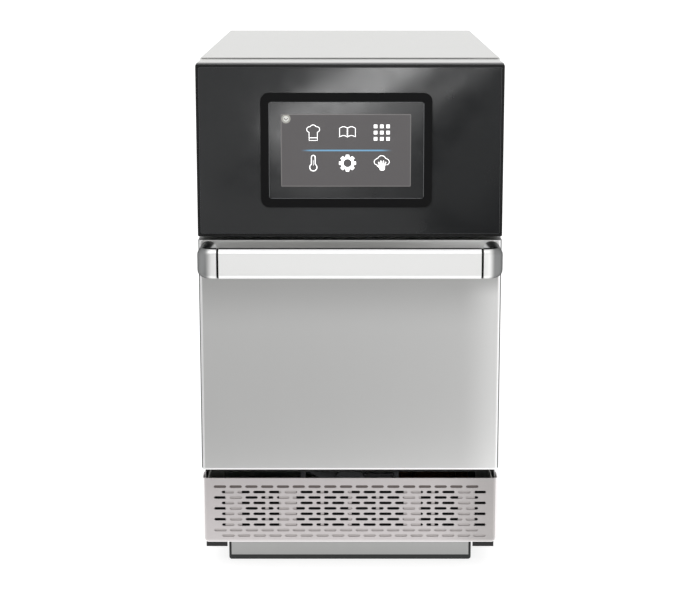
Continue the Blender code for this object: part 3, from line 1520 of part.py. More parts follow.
def cooling_fan_rotor():
    """A hub with pitched blades and the shaft that turns in the frame's hub."""
    front = FAN_FRONT + FAN_FRONT_GAP
    centre = (0, behind(front + FAN_ROTOR_DEPTH / 2), FAN_CENTRE_Z)
    rotor = cylinder(
        "cooling_fan_rotor", centre, (0, 1, 0), FAN_HUB_RADIUS, FAN_ROTOR_DEPTH, ROUND_SIDES
    )
    tip = FAN_SIZE / 2 - FAN_FRAME_WALL - FAN_TIP_GAP
    root = FAN_HUB_RADIUS - FAN_BLADE_THICKNESS
    reach = (FAN_BLADE_CHORD / 2) * math.cos(FAN_BLADE_PITCH)
    length = math.sqrt(tip**2 - reach**2)

    def blade(bm, n):
        turn = Matrix.Rotation(2 * math.pi * n / FAN_BLADES, 4, "Y")
        pitch = Matrix.Rotation(FAN_BLADE_PITCH, 4, "X")
        place = Matrix.Translation(centre) @ turn @ pitch
        chord = min(FAN_BLADE_CHORD, FAN_ROTOR_DEPTH / math.sin(FAN_BLADE_PITCH) - FAN_FRONT_GAP)
        box_copy(bm, (root, length), span(0, FAN_BLADE_THICKNESS), span(0, chord), place)

    join(rotor, repeated("blades", blade, range(FAN_BLADES)))
    shaft_length = SEAT_GAP + FAN_ARM_THICKNESS + FAN_SHAFT
    shaft_y = behind(front + FAN_ROTOR_DEPTH - FAN_SHAFT + shaft_length / 2)
    shaft_place = (0, shaft_y, FAN_CENTRE_Z)
    join(rotor, cylinder("shaft", shaft_place, (0, 1, 0), FAN_SHAFT, shaft_length, FINE_SIDES))
    return black_part(rotor, 0.5)


# Electronics


def electronics_shelf():
    """A tray with upturned flanges over the insulation."""
    half = SIDE_INNER_X - SEAT_GAP
    outline = [(-half, SHELF_Z), (half, SHELF_Z), (half, SHELF_Z + SHELF_FLANGE)]
    outline += [(half - SHEET, SHELF_Z + SHELF_FLANGE), (half - SHEET, SHELF_Z + SHEET)]
    outline += [(SHEET - half, SHELF_Z + SHEET), (SHEET - half, SHELF_Z + SHELF_FLANGE)]
    outline += [(-half, SHELF_Z + SHELF_FLANGE)]
    y = (behind(HEAD_DEPTH + 2 * SEAT_GAP), BACK_Y - SHELF_REAR_GAP)
    return steel(plate("electronics_shelf", [outline], "front", *y), "#b9bbbd", 0.4)


def relay_board():
    """A board on four pegs with a row of relays."""
    foot = SHELF_Z + SHEET + SEAT_GAP
    under = foot + RELAY_BOARD_STANDOFF
    middle = RELAY_BOARD_FRONT + RELAY_BOARD_DEPTH / 2
    top = under + BOARD_THICKNESS
    board = block(
        "relay_board", span(0, RELAY_BOARD_WIDTH), span(behind(middle), RELAY_BOARD_DEPTH), (under, top)
    )
    length = RELAY_BOARD_STANDOFF + BOARD_THICKNESS / 2
    inset = SCREEN_BOARD_BORDER

    def peg(bm, place):
        centre = (
            place[0] * (RELAY_BOARD_WIDTH / 2 - inset),
            behind(middle) + place[1] * (RELAY_BOARD_DEPTH / 2 - inset),
            foot + length / 2,
        )
        rod_copy(bm, centre, (0, 0, 1), STANDOFF_RADIUS, length, 8)

    def relay(bm, n):
        x = (n - (RELAYS - 1) / 2) * RELAY_PITCH
        z = (top - BOARD_THICKNESS / 2, top + RELAY_HEIGHT)
        box_copy(bm, span(x, RELAY_WIDTH), span(behind(middle), RELAY_DEPTH), z)

    join(board, repeated("pegs", peg, [(-1, -1), (1, -1), (1, 1), (-1, 1)]))
    join(board, repeated("relays", relay, range(RELAYS)))
    return finish(board, "#1f5a38", 0.5)


# Door switches


def interlock_switch(label, side):
    front = FRAME_BACK + SEAT_GAP
    body = block(
        f"interlock_switch_{label}",
        span(side * PLUNGER_X, SWITCH_WIDTH),
        (behind(front), behind(front + SWITCH_LENGTH)),
        span(PLUNGER_Z, SWITCH_WIDTH),
    )
    depth = SWITCH_LENGTH - SWITCH_END_WALL
    length = depth + CUT_OVERRUN
    bore = cylinder(
        "bore",
        (side * PLUNGER_X, behind(front + depth - length / 2), PLUNGER_Z),
        (0, 1, 0),
        PLUNGER_RADIUS + SEAT_GAP,
        length,
        FINE_SIDES,
    )
    return finish(cut(body, bore), "#8c2f22", 0.5)


def interlock_plunger(label, side):
    front = DOOR_DEPTH + SEAT_GAP
    end = FRAME_BACK + SEAT_GAP + SWITCH_LENGTH - SWITCH_END_WALL - SEAT_GAP
    middle = behind((front + end) / 2)
    place = (side * PLUNGER_X, middle, PLUNGER_Z)
    plunger = cylinder(
        f"interlock_plunger_{label}", place, (0, 1, 0), PLUNGER_RADIUS, end - front, FINE_SIDES
    )
    return finish(plunger, "#d9d6cf", 0.45)


# Door


def hinge_planes(side):
    """X ranges, from the outside in: bracket on the cabinet, then the arm in the door."""
    bracket = (HALF_WIDTH - HINGE_INSET - HINGE_PLATE, HALF_WIDTH - HINGE_INSET)
    arm_outer = bracket[0] - HINGE_PLATE_SPACE
    arm = (arm_outer - HINGE_PLATE, arm_outer)
    return mirrored(*bracket, side), mirrored(*arm, side)


def hinge_notches(name):
    """The slots in the door's lower edge that the fixed brackets pass through as the door swings."""
    margin = HINGE_NOTCH_MARGIN

    def notch(bm, side):
        bracket = hinge_planes(side)[0]
        box_copy(
            bm,
            (bracket[0] - margin, bracket[1] + margin),
            (behind(HINGE_SETBACK - HINGE_ROUND - margin), behind(DOOR_DEPTH + CUT_OVERRUN)),
            (DOOR_Z - CUT_OVERRUN, HINGE_Z + HINGE_ROUND + margin),
        )

    return repeated(name, notch, [-1, 1])


def door_outer_skin():
    """The folded face of the door, its upright edges rolled round."""

    def front_edge(middle):
        return middle.y < FRONT_Y + SEAT_GAP

    x = (-HALF_WIDTH, HALF_WIDTH)
    z = (DOOR_Z, DOOR_TOP)
    skin = block(
        "door_outer_skin",
        x,
        (FRONT_Y, behind(SKIN_RETURN)),
        z,
        rounds=((2, DOOR_SIDE_ROUND, 4, front_edge), (0, DOOR_EDGE_ROUND, 2, front_edge)),
    )
    inside = block(
        "inside",
        (x[0] + SHEET, x[1] - SHEET),
        (behind(SHEET), behind(SKIN_RETURN + CUT_OVERRUN)),
        (z[0] + SHEET, z[1] - SHEET),
        rounds=((2, DOOR_SIDE_ROUND - SHEET, 3, lambda middle: middle.y < behind(2 * SHEET)),),
    )
    cut(skin, inside)
    return steel(cut(skin, hinge_notches("notches")), "#b4b4b3", 0.3)


def door_inner_panel():
    """The pan that closes the back of the door, nested in the skin's returns."""
    inset = SHEET + SEAT_GAP
    x = (inset - HALF_WIDTH, HALF_WIDTH - inset)
    z = (DOOR_Z + inset, DOOR_TOP - inset)
    front = DOOR_DEPTH - INNER_RETURN
    panel = block("door_inner_panel", x, (behind(front), behind(DOOR_DEPTH)), z)
    inside = block(
        "inside",
        (x[0] + SHEET, x[1] - SHEET),
        (behind(front - CUT_OVERRUN), behind(DOOR_DEPTH - SHEET)),
        (z[0] + SHEET, z[1] - SHEET),
    )
    cut(panel, inside)
    return steel(cut(panel, hinge_notches("notches")), "#bdbdbb", 0.28)


def door_plug_panel():
    """The raised choke panel that enters the oven mouth."""

    def back_edge(middle):
        return middle.y > behind(DOOR_DEPTH + PLUG_THICKNESS)

    half = CAVITY_HALF - PLUG_CLEARANCE
    plug = block(
        "door_plug_panel",
        (-half, half),
        (behind(DOOR_DEPTH + SEAT_GAP), behind(DOOR_DEPTH + SEAT_GAP + PLUG_THICKNESS)),
        (CAVITY_Z + PLUG_CLEARANCE, CAVITY_TOP - PLUG_CLEARANCE),
        rounds=((1, CAVITY_CORNER, 4, every_edge), (0, PLUG_EDGE_ROUND, 2, back_edge)),
    )
    return steel(plug, "#a8a8a6", 0.35)


def door_seal():
    """A ring that closes on the front frame round the mouth."""
    inner_x = CAVITY_HALF + SEAL_MARGIN
    low, high = CAVITY_Z - SEAL_MARGIN, CAVITY_TOP + SEAL_MARGIN
    outer_x = inner_x + SEAL_WIDTH
    corner = CAVITY_CORNER + SEAL_MARGIN
    outlines = [
        rounded_outline(
            (-outer_x, outer_x),
            (low - SEAL_WIDTH, high + SEAL_WIDTH),
            (corner + SEAL_WIDTH,) * 4,
            4,
        ),
        rounded_outline((-inner_x, inner_x), (low, high), (corner,) * 4, 4),
    ]
    front = DOOR_DEPTH + SEAT_GAP
    seal = plate("door_seal", outlines, "front", behind(front), behind(front + SEAL_THICKNESS))
    return finish(seal, "#2b2b2d", 0.8)


def door_insulation():
    half = HALF_WIDTH - DOOR_INSULATION_INSET
    inset = SHEET + SEAT_GAP
    slab = block(
        "door_insulation",
        (-half, half),
        (behind(inset), behind(DOOR_DEPTH - inset)),
        (DOOR_Z + DOOR_INSULATION_RISE, DOOR_TOP - DOOR_INSULATION_DROP),
    )
    return finish(slab, "#cfc6a6", 0.95)


def rounded_end(radius, steps=6):
    """Half a circle about the hinge axis, at the front, from below to above."""
    for step in range(steps + 1):
        angle = 3 * math.pi / 2 - step / steps * math.pi
        yield behind(HINGE_SETBACK) + radius * math.cos(angle), HINGE_Z + radius * math.sin(angle)


def pin_hole():
    return circle_outline(behind(HINGE_SETBACK), HINGE_Z, HINGE_PIN_RADIUS + SEAT_GAP)


def hinge_bracket(label, side):
    """A plate from the front frame forward to the hinge pin, with a tab turned against the frame."""
    x = hinge_planes(side)[0]
    back = behind(FRAME_FRONT - SEAT_GAP)
    outline = [*rounded_end(HINGE_ROUND), (back, HINGE_Z + HINGE_ROUND), (back, HINGE_Z - HINGE_ROUND)]
    bracket = plate(f"hinge_bracket_{label}", [outline, pin_hole()], "side", *x)
    outer = max(abs(x[0]), abs(x[1]))
    tab = block(
        "tab",
        mirrored(outer - HINGE_TAB_WIDTH, outer, side),
        (back - HINGE_TAB_THICKNESS, back),
        span(HINGE_Z, HINGE_TAB_HEIGHT),
    )
    return steel(join(bracket, tab), "#a9a9a7", 0.4)


def door_hinge_arm(label, side):
    """A plate between the door's skin and its inner panel, necked down round the pin."""
    x = hinge_planes(side)[1]
    front = behind(SHEET + SEAT_GAP)
    back = behind(DOOR_DEPTH - SHEET - SEAT_GAP)
    neck = HINGE_Z + HINGE_ARM_NECK
    top = HINGE_Z + HINGE_ARM_HEIGHT
    arm_back = behind(HINGE_SETBACK) + HINGE_ROUND
    arm_front = behind(HINGE_SETBACK) - HINGE_ROUND
    outline = [*rounded_end(HINGE_ROUND), (arm_front, neck), (front, neck), (front, top)]
    outline += [(back, top), (back, neck), (arm_back, neck), (arm_back, HINGE_Z)]
    return steel(plate(f"door_hinge_arm_{label}", [outline, pin_hole()], "side", *x), "#a9a9a7", 0.4)


def spring_length():
    return SPRING_TURNS * SPRING_PITCH + 2 * SPRING_WIRE_RADIUS


def hinge_pin(label, side):
    """A headed pin through the bracket, the door's arm and the spring."""
    bracket, arm = hinge_planes(side)
    outer = max(map(abs, bracket)) + SEAT_GAP
    inner = min(map(abs, arm)) - SEAT_GAP - spring_length() - HINGE_PIN_RADIUS
    head = HINGE_HEAD_THICKNESS
    profile = [
        (0, outer + head),
        (HINGE_HEAD_RADIUS, outer + head),
        (HINGE_HEAD_RADIUS, outer),
        (HINGE_PIN_RADIUS, outer),
        (HINGE_PIN_RADIUS, inner),
        (0, inner),
    ]
    place = (0, behind(HINGE_SETBACK), HINGE_Z)
    return steel(turned(f"hinge_pin_{label}", profile, place, (side, 0, 0), FINE_SIDES), "#8a8a88", 0.35)


def hinge_spring(label, side):
    """A torsion spring round the pin with a leg up inside the door."""
    arm = hinge_planes(side)[1]
    start = min(map(abs, arm)) - SEAT_GAP - SPRING_WIRE_RADIUS
    radius = HINGE_PIN_RADIUS + SEAT_GAP + SPRING_WIRE_RADIUS
    count = SPRING_TURNS * SPRING_POINTS_PER_TURN
    points = []
    for n in range(count + 1):
        angle = 2 * math.pi * n / SPRING_POINTS_PER_TURN
        x = side * (start - SPRING_PITCH * n / SPRING_POINTS_PER_TURN)
        y = behind(HINGE_SETBACK) + radius * math.cos(angle)
        points.append((x, y, HINGE_Z + radius * math.sin(angle)))
    last = points[-1]
    points.append((last[0], last[1], last[2] + SPRING_LEG))
    return steel(tube(f"hinge_spring_{label}", points, SPRING_WIRE_RADIUS, 1), "#77787a", 0.4)


# Handle


def handle_profile(shrink=0):
    """Y, Z outline of the bar: a flat face with large rounded edges."""
    y = (FRONT_Y - HANDLE_REACH + shrink, FRONT_Y - HANDLE_REACH + HANDLE_BAR_DEPTH - shrink)
    z = (HANDLE_Z + shrink, HANDLE_TOP - shrink)
    radius = HANDLE_EDGE_ROUND - shrink
    return rounded_outline(y, z, (radius,) * 4, 5)


def handle_seam_x():
    """Distance from the middle to the face where a spacer meets the handle's end."""
    return HANDLE_HALF - HANDLE_END_WIDTH


def handle_bar():
    half = handle_seam_x() - 2 * SEAT_GAP - HANDLE_SPACER
    return smooth(steel(plate("handle_bar", [handle_profile()], "side", -half, half), "#dcdcdc", 0.25))


def handle_spacer(label, side):
    outer = handle_seam_x() - SEAT_GAP
    x = mirrored(outer - HANDLE_SPACER, outer, side)
    outline = handle_profile(HANDLE_SPACER_SHRINK)
    return black_part(plate(f"handle_spacer_{label}", [outline], "side", *x))


def elbow_ring(reach, depth, turn, centre, side):
    """A section of the elbow, at an angle about its centre: how far out it reaches, and how deep it is."""
    outline = rounded_outline((reach - depth, reach), (HANDLE_Z, HANDLE_TOP), (HANDLE_EDGE_ROUND,) * 4, 4)
    across, back = math.cos(turn), math.sin(turn)
    return [(side * (centre[0] + out * across), centre[1] + out * back, z) for out, z in outline]


def handle_end(label, side):
    """A cast elbow: from the bar's end round the corner and back to the door, narrowing to its neck."""
    centre = (HANDLE_HALF - HANDLE_CORNER, FRONT_Y - HANDLE_REACH + HANDLE_CORNER)
    quarter = math.pi / 2
    rings = []
    for step in range(HANDLE_BEND_STEPS + 1):
        share = step / HANDLE_BEND_STEPS
        depth = HANDLE_BAR_DEPTH + share * (HANDLE_ARM_WIDTH - HANDLE_BAR_DEPTH)
        rings.append(elbow_ring(HANDLE_CORNER, depth, (share - 1) * quarter, centre, side))
    straight = side * (handle_seam_x() - centre[0])
    rings.insert(0, [(x + straight, y, z) for x, y, z in rings[0]])
    foot = (centre[0] - HANDLE_NECK_INSET, FRONT_Y - SEAT_GAP)
    rings.append(elbow_ring(HANDLE_CORNER, HANDLE_NECK_WIDTH, 0, foot, side))
    return smooth(steel(lofted(f"handle_end_{label}", rings), "#c3c3c3", 0.3))


# Assembly


def build_cabinet():
    for make in (
        base_pan,
        front_foot_cover,
        top_cover,
        rear_panel,
        cable_gland,
        control_housing,
        control_frame,
        control_glass,
        screen_bezel,
        touch_screen,
        screen_board,
        front_frame,
        cavity_liner,
        jet_plate,
        air_baffle,
        cook_plate,
        hot_air_duct,
        heater_element,
        catalyst,
        convection_motor,
        insulation_jacket,
        insulation_floor,
        waveguide,
        magnetron,
        hv_transformer,
        hv_capacitor,
        cooling_fan_frame,
        electronics_shelf,
        relay_board,
    ):
        make()
    foot_rail("front_foot_rail", FOOT_SETBACK)
    foot_rail("rear_foot_rail", CABINET_DEPTH - REAR_FOOT_SETBACK - FOOT_DEPTH)
    for label, side in SIDES:
        side_panel(label, side)
        hinge_bracket(label, side)
        hinge_pin(label, side)
        interlock_switch(label, side)


def build_door():
    pieces = [door_outer_skin(), door_inner_panel(), door_plug_panel(), door_seal(), door_insulation()]
    pieces.append(handle_bar())
    for label, side in SIDES:
        pieces += [door_hinge_arm(label, side), hinge_spring(label, side)]
        pieces += [handle_spacer(label, side), handle_end(label, side)]
    carry(axis_empty("door_axis", (0, behind(HINGE_SETBACK), HINGE_Z)), pieces)


def build_moving_pieces():
    carry(
        axis_empty("filter_axis", (0, FRONT_Y, GRILLE_Z)),
        [front_grille(), filter_frame(), filter_mesh()],
    )
    impeller = convection_impeller()
    carry(axis_empty("convection_axis", tuple(impeller.location)), [impeller])
    rotor = cooling_fan_rotor()
    carry(axis_empty("cooling_axis", tuple(rotor.location)), [rotor])
    for label, side in SIDES:
        plunger = interlock_plunger(label, side)
        carry(axis_empty(f"plunger_axis_{label}", tuple(plunger.location)), [plunger])


def print_joints():
    """The joints' places and ranges, for whoever sets them up."""
    print("door hinge", (0, behind(HINGE_SETBACK), HINGE_Z), "range", (0, DOOR_SWING))
    print("filter travel", (0, FILTER_TRAVEL))
    print("plunger travel", (0, PLUNGER_TRAVEL), "per radian of door", PLUNGER_TRAVEL / DOOR_SWING)


clear_scene()
PARTS = new_collection("speed_oven")
TOOLS = new_collection("cutters")
build_cabinet()
build_door()
build_moving_pieces()
print_joints()
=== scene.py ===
"""Dresses the speed oven: its finishes, the lit touch screen, its small fasteners and a plain studio."""

import math

import bmesh
import bpy
from bpy.props import FloatProperty, FloatVectorProperty, PointerProperty
from bpy.types import Operator, Panel, PropertyGroup
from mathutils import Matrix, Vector


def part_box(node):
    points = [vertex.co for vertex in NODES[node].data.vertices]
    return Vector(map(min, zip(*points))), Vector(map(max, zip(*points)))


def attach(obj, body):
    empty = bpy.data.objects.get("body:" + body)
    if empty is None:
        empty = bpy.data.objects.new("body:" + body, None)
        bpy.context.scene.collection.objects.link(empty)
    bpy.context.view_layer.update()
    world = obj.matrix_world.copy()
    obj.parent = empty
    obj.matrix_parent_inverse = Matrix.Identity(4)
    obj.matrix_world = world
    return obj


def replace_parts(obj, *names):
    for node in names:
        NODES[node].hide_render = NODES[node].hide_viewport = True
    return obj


bl_info = {
    "name": "Speed Oven Look",
    "version": (1, 0, 0),
    "blender": (4, 5, 0),
    "location": "View3D > Sidebar > Speed Oven",
    "description": "Finishes, screen, fasteners and studio for the speed oven",
    "category": "Object",
}

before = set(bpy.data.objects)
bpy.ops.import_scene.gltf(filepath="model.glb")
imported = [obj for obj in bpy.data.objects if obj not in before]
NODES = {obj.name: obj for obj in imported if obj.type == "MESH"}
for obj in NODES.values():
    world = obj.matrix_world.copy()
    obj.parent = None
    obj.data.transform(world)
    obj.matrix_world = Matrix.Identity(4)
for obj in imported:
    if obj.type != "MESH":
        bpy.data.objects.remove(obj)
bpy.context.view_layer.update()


def linear(hex_colour):
    """Linear red, green and blue of an sRGB hex colour."""
    channels = (int(hex_colour[start : start + 2], 16) / 255 for start in (1, 3, 5))
    return tuple(c / 12.92 if c <= 0.04045 else ((c + 0.055) / 1.055) ** 2.4 for c in channels)


def length(name, description, default):
    return FloatProperty(
        name=name, description=description, default=default, min=0.0, subtype="DISTANCE", unit="LENGTH"
    )


def colour(name, description, default):
    return FloatVectorProperty(
        name=name,
        description=description,
        default=linear(default),
        size=3,
        min=0.0,
        max=1.0,
        subtype="COLOR",
    )


class SpeedOvenSizes(PropertyGroup):
    display_width: length("Display width", "Width of the lit part of the screen", 0.1505)
    display_height: length("Display height", "Height of the lit part of the screen", 0.0843)
    display_offset: length("Display offset", "How far the lit part sits to the left of the bezel", 0.0005)
    display_corner: length("Display corner", "Corner radius of the lit part", 0.001)
    film: length("Film thickness", "Thickness of the display and of what it shows", 0.0001)
    icon: length("Icon size", "Height of an icon", 0.0183)
    icon_line: length("Icon line", "Width of an icon's line", 0.00072)
    icon_pitch: length("Icon pitch", "Distance between two icons in a row", 0.0397)
    icon_shift: length("Icon shift", "How far the icons sit to the right of the display's middle", 0.0018)
    upper_row: length("Upper row", "Height of the upper row above the display's middle", 0.0208)
    lower_row: length("Lower row", "Depth of the lower row below the display's middle", 0.0148)
    display_edge: length("Display edge", "Width of the paler edge of the display", 0.0006)
    status_dot: length("Status dot", "Radius of the round light at the screen's corner", 0.0053)
    divider_width: length("Divider width", "Length of the coloured line", 0.108)
    divider_height: length("Divider height", "Thickness of the coloured line", 0.0018)
    glass_edge: length("Glass edge", "Width of the ground edge of the glass", 0.0006)
    bezel_lap: length("Bezel lap", "How far the bezel covers the screen's glass", 0.0017)
    elbow_bend: length("Elbow bend", "Outer radius of the bend at a handle's end", 0.0185)
    elbow_arm: length("Elbow arm", "Thickness of a handle's end behind its bend", 0.0178)
    elbow_root: length("Elbow root", "Width of a handle's end where it meets the door", 0.0205)
    elbow_edge: length("Elbow edge", "Edge radius of a handle's end at the bar", 0.0065)
    screw_radius: length("Screw radius", "Radius of a screw's head", 0.0038)
    screw_height: length("Screw height", "Height of a screw's head", 0.0012)
    socket_radius: length("Socket radius", "Radius of the screw's socket", 0.0016)


class SpeedOvenColours(PropertyGroup):
    stainless: colour("Stainless steel", "Brushed sheet of the sides and the rear", "#c8c8c7")
    door: colour("Door steel", "Brushed sheet of the door just under the handle", "#bebebd")
    grille: colour("Grille steel", "Punched sheet of the grille", "#cac5c5")
    paint: colour("Cabinet paint", "Satin paint of the top and the head", "#cfcfcd")
    handle: colour("Handle", "Satin bar of the handle", "#e3e3e2")
    elbow: colour("Handle ends", "Cast ends of the handle", "#fafaf9")
    black: colour("Black plastic", "Frame and bezel", "#070708")
    glass: colour("Glass", "Paint behind the glass", "#202122")
    display: colour("Display", "Lit ground of the display", "#656263")
    ink: colour("Icons", "Icons on the display", "#ffffff")
    accent: colour("Divider", "Coloured line on the display", "#7cb3d8")
    floor: colour("Floor", "Studio floor", "#fbfbfb")


# Places taken from the model


def low(node):
    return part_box(node)[0]


def high(node):
    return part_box(node)[1]


FACE_Y = low("door_outer_skin")[1]
TOUCH_LOW, TOUCH_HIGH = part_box("touch_screen")
SCREEN_X = (TOUCH_LOW[0] + TOUCH_HIGH[0]) / 2
SCREEN_Z = (TOUCH_LOW[2] + TOUCH_HIGH[2]) / 2
SCREEN_Y = TOUCH_LOW[1]


# Materials

BRUSHED_UPRIGHT = (0.0009, 0.0009, 0.11)
BRUSHED_LENGTHWISE = (0.0009, 0.11, 0.0009)
MILKY_METAL = 0.3
GLASS_IOR = 1.52
# Numbers of a colour mix's sockets: its share, its two colours and its result
SHARE, FIRST, SECOND, MIXED = 0, 6, 7, 2


def adjust(node, settings):
    """Each setting names an attribute of the node, or else one of its inputs or an input's number."""
    for name, value in settings.items():
        if isinstance(name, str) and hasattr(node, name):
            setattr(node, name, value)
        else:
            node.inputs[name].default_value = value


def wire(socket, node, name):
    node.id_data.links.new(socket, node.inputs[name])


def add_node(owner, kind, settings, links):
    """Adds a node beside its owner, which is a shader or a socket of the same material."""
    node = owner.id_data.nodes.new(kind)
    adjust(node, settings)
    for name, socket in links.items():
        wire(socket, node, name)
    return node


def coordinates(shader, output="Object"):
    """Where a point of the surface lies on the model, in metres, or another kind of coordinates."""
    return add_node(shader, "ShaderNodeTexCoord", {}, {}).outputs[output]


def grain(shader, size, detail=3.0):
    """Noise whose features have a real size in metres along X, Y and Z."""
    scale = tuple(1 / s for s in size)
    mapped = add_node(shader, "ShaderNodeMapping", {"Scale": scale}, {"Vector": coordinates(shader)})
    settings = {"Scale": 1.0, "Detail": detail}
    noise = add_node(shader, "ShaderNodeTexNoise", settings, {"Vector": mapped.outputs["Vector"]})
    return noise.outputs["Fac"]


def even(size):
    """The same size along X, Y and Z."""
    return size, size, size


def place_along(shader, axis, output="Object"):
    """How far along an axis of the model a point of the surface lies, in metres."""
    parts = add_node(shader, "ShaderNodeSeparateXYZ", {}, {"Vector": coordinates(shader, output)})
    return parts.outputs[axis]


def facing(shader, axis):
    """How far the surface is turned to an axis of the model, from -1 to 1."""
    return place_along(shader, axis, "Normal")


def ramp(value, start, end):
    """A share that rises smoothly from 0 to 1 between two values."""
    settings = {"interpolation_type": "SMOOTHSTEP", "From Min": start, "From Max": end}
    return add_node(value, "ShaderNodeMapRange", settings, {"Value": value}).outputs["Result"]


def away_from(value, middle=0.0):
    """How far a value lies from a middle, to either side."""
    side = add_node(value, "ShaderNodeMath", {"operation": "SUBTRACT", 1: middle}, {0: value}).outputs[0]
    return add_node(value, "ShaderNodeMath", {"operation": "ABSOLUTE"}, {0: side}).outputs[0]


def both(first, second):
    """The share of what lies in two shares at once."""
    settings = {"operation": "MULTIPLY"}
    return add_node(first, "ShaderNodeMath", settings, {0: first, 1: second}).outputs[0]


def tinted(shader, share, hue, socket="Base Color"):
    """Mixes a colour into what the shader already has, by a share."""
    plain = shader.inputs[socket].links[0].from_socket
    settings = {"data_type": "RGBA", SECOND: (*hue, 1.0)}
    mixed = add_node(shader, "ShaderNodeMix", settings, {SHARE: share, FIRST: plain})
    wire(mixed.outputs[MIXED], shader, socket)


def painted_milky_tint(shader, share, hue):
    """Paints in light and shade by a share: mixes in a colour and makes the metal milky there, so that it
    scatters the painted colour.
    """
    tinted(shader, share, hue)
    settings = {"To Min": shader.inputs["Metallic"].default_value, "To Max": MILKY_METAL}
    metallic = add_node(shader, "ShaderNodeMapRange", settings, {"Value": share})
    wire(metallic.outputs["Result"], shader, "Metallic")


def painted_edge_highlight(shader, hue):
    """Paints a pale, dull highlight on the rolled edges, where the surface is turned half way to the
    front.
    """
    flat, rounded = 0.01, 0.12
    front = away_from(facing(shader, "Y"))
    rest = add_node(shader, "ShaderNodeMath", {"operation": "SUBTRACT", 0: 1.0}, {1: front}).outputs[0]
    painted_milky_tint(shader, ramp(both(front, rest), flat, rounded), hue)


def painted_top_tone(shader, hue):
    """Tints the surface where it lies flat and faces up: painted shade on the door and the handle,
    painted light on the base.
    """
    sloping, level = 0.9, 0.99
    tinted(shader, ramp(facing(shader, "Z"), sloping, level), hue)


def embossed(shader, pattern, strength, depth):
    """Presses a pattern into the surface."""
    settings = {"Strength": strength, "Distance": depth}
    bump = add_node(shader, "ShaderNodeBump", settings, {"Height": pattern})
    wire(bump.outputs["Normal"], shader, "Normal")


def surface(
    name, hue, metallic, roughness, spread, texture, relief, clouds=0.09, shift=0.06, depth=0.00004
):
    """What every finish shares: a fine texture in relief and roughness, and broad changes of colour."""
    material = bpy.data.materials.new(name)
    material.use_nodes = True
    shader = material.node_tree.nodes["Principled BSDF"]
    fine = grain(shader, texture)
    broad = grain(shader, even(clouds), 2.0)
    noise_low, noise_high, fine_share = 0.3, 0.7, 0.45
    settings = {"From Min": noise_low, "From Max": noise_high}
    settings |= {"To Min": roughness - spread, "To Max": roughness + spread}
    rough = add_node(shader, "ShaderNodeMapRange", settings, {"Value": fine})
    dark = tuple(c * (1 - shift) for c in hue)
    light = tuple(min(1.0, c * (1 + shift)) for c in hue)
    settings = {"operation": "MULTIPLY", 1: fine_share}
    part = add_node(shader, "ShaderNodeMath", settings, {0: fine}).outputs[0]
    settings = {"operation": "MULTIPLY_ADD", 1: 1 - fine_share}
    share = add_node(shader, "ShaderNodeMath", settings, {0: broad, 2: part}).outputs[0]
    settings = {"data_type": "RGBA", FIRST: (*dark, 1.0), SECOND: (*light, 1.0)}
    tint = add_node(shader, "ShaderNodeMix", settings, {SHARE: share})
    wire(rough.outputs["Result"], shader, "Roughness")
    wire(tint.outputs[MIXED], shader, "Base Color")
    embossed(shader, fine, relief, depth)
    adjust(shader, {"Metallic": metallic})
    return material, shader


def brushed_stainless(hue):
    # Belt-brushed 304 sheet: upright lines draw reflections out sideways, and the bends get a painted
    # pale highlight.
    material, shader = surface("brushed_stainless", hue, 1.0, 0.36, 0.06, BRUSHED_UPRIGHT, 0.5)
    adjust(shader, {"Anisotropic": 0.35})
    painted_edge_highlight(shader, linear("#f6f6f5"))
    return material


def brushed_door(hue, bar_z, half, foot):
    # The same sheet on the door, with painted light and shade: a painted shadow under the bar that pales
    # further down, painted light above the bar, on the ends of the strip above it and along the right
    # side, the painted shadow kept just under the bar at the right, and painted shade on the top flange.
    material, shader = surface("brushed_door", hue, 1.0, 0.36, 0.02, BRUSHED_UPRIGHT, 0.2, shift=0.02)
    adjust(shader, {"Anisotropic": 0.35})
    across, upright = place_along(shader, "X"), place_along(shader, "Z")
    under, over = bar_z
    shade_top, shade_foot = under - 0.002, under - 0.075
    bar_shade_top, bar_shade_foot = under - 0.004, under - 0.034
    strip_top = over + 0.03
    tinted(shader, ramp(upright, shade_top, shade_foot), linear("#d8d8d7"))
    tinted(shader, ramp(upright, under, over), linear("#dededc"))
    ends = ramp(away_from(across, half * -0.25), half * 0.3, half * 1.45)
    strip = ramp(upright, under, strip_top)
    painted_milky_tint(shader, both(strip, ends), linear("#ffffff"))
    tinted(shader, ramp(across, half * 0.72, half * 1.02), linear("#f0f0ef"))
    bar_shade = both(ramp(upright, over, under), ramp(upright, bar_shade_foot, bar_shade_top))
    tinted(shader, both(bar_shade, ramp(across, half * 0.55, half * 0.75)), hue)
    painted_edge_lines(shader, half, foot)
    painted_top_tone(shader, linear("#6a6b6b"))
    return material


def painted_edge_lines(shader, half, foot):
    """Paints a bright highlight along the door's side and lower edges, and a dark line where its sides
    fold back.
    """
    highlight_reach, seam_width, soft = 0.0038, 0.0018, 0.0005
    bright = linear("#ffffff")
    away = away_from(place_along(shader, "X"))
    front = ramp(place_along(shader, "Y"), FACE_Y + highlight_reach, FACE_Y + seam_width)
    tinted(shader, both(ramp(away, half - highlight_reach - soft, half - highlight_reach), front), bright)
    seam = both(ramp(away, half - seam_width, half - seam_width + soft), front)
    tinted(shader, seam, linear("#5a5b5c"))
    lower_edge = ramp(place_along(shader, "Z"), foot + seam_width + soft, foot + seam_width)
    tinted(shader, lower_edge, bright)


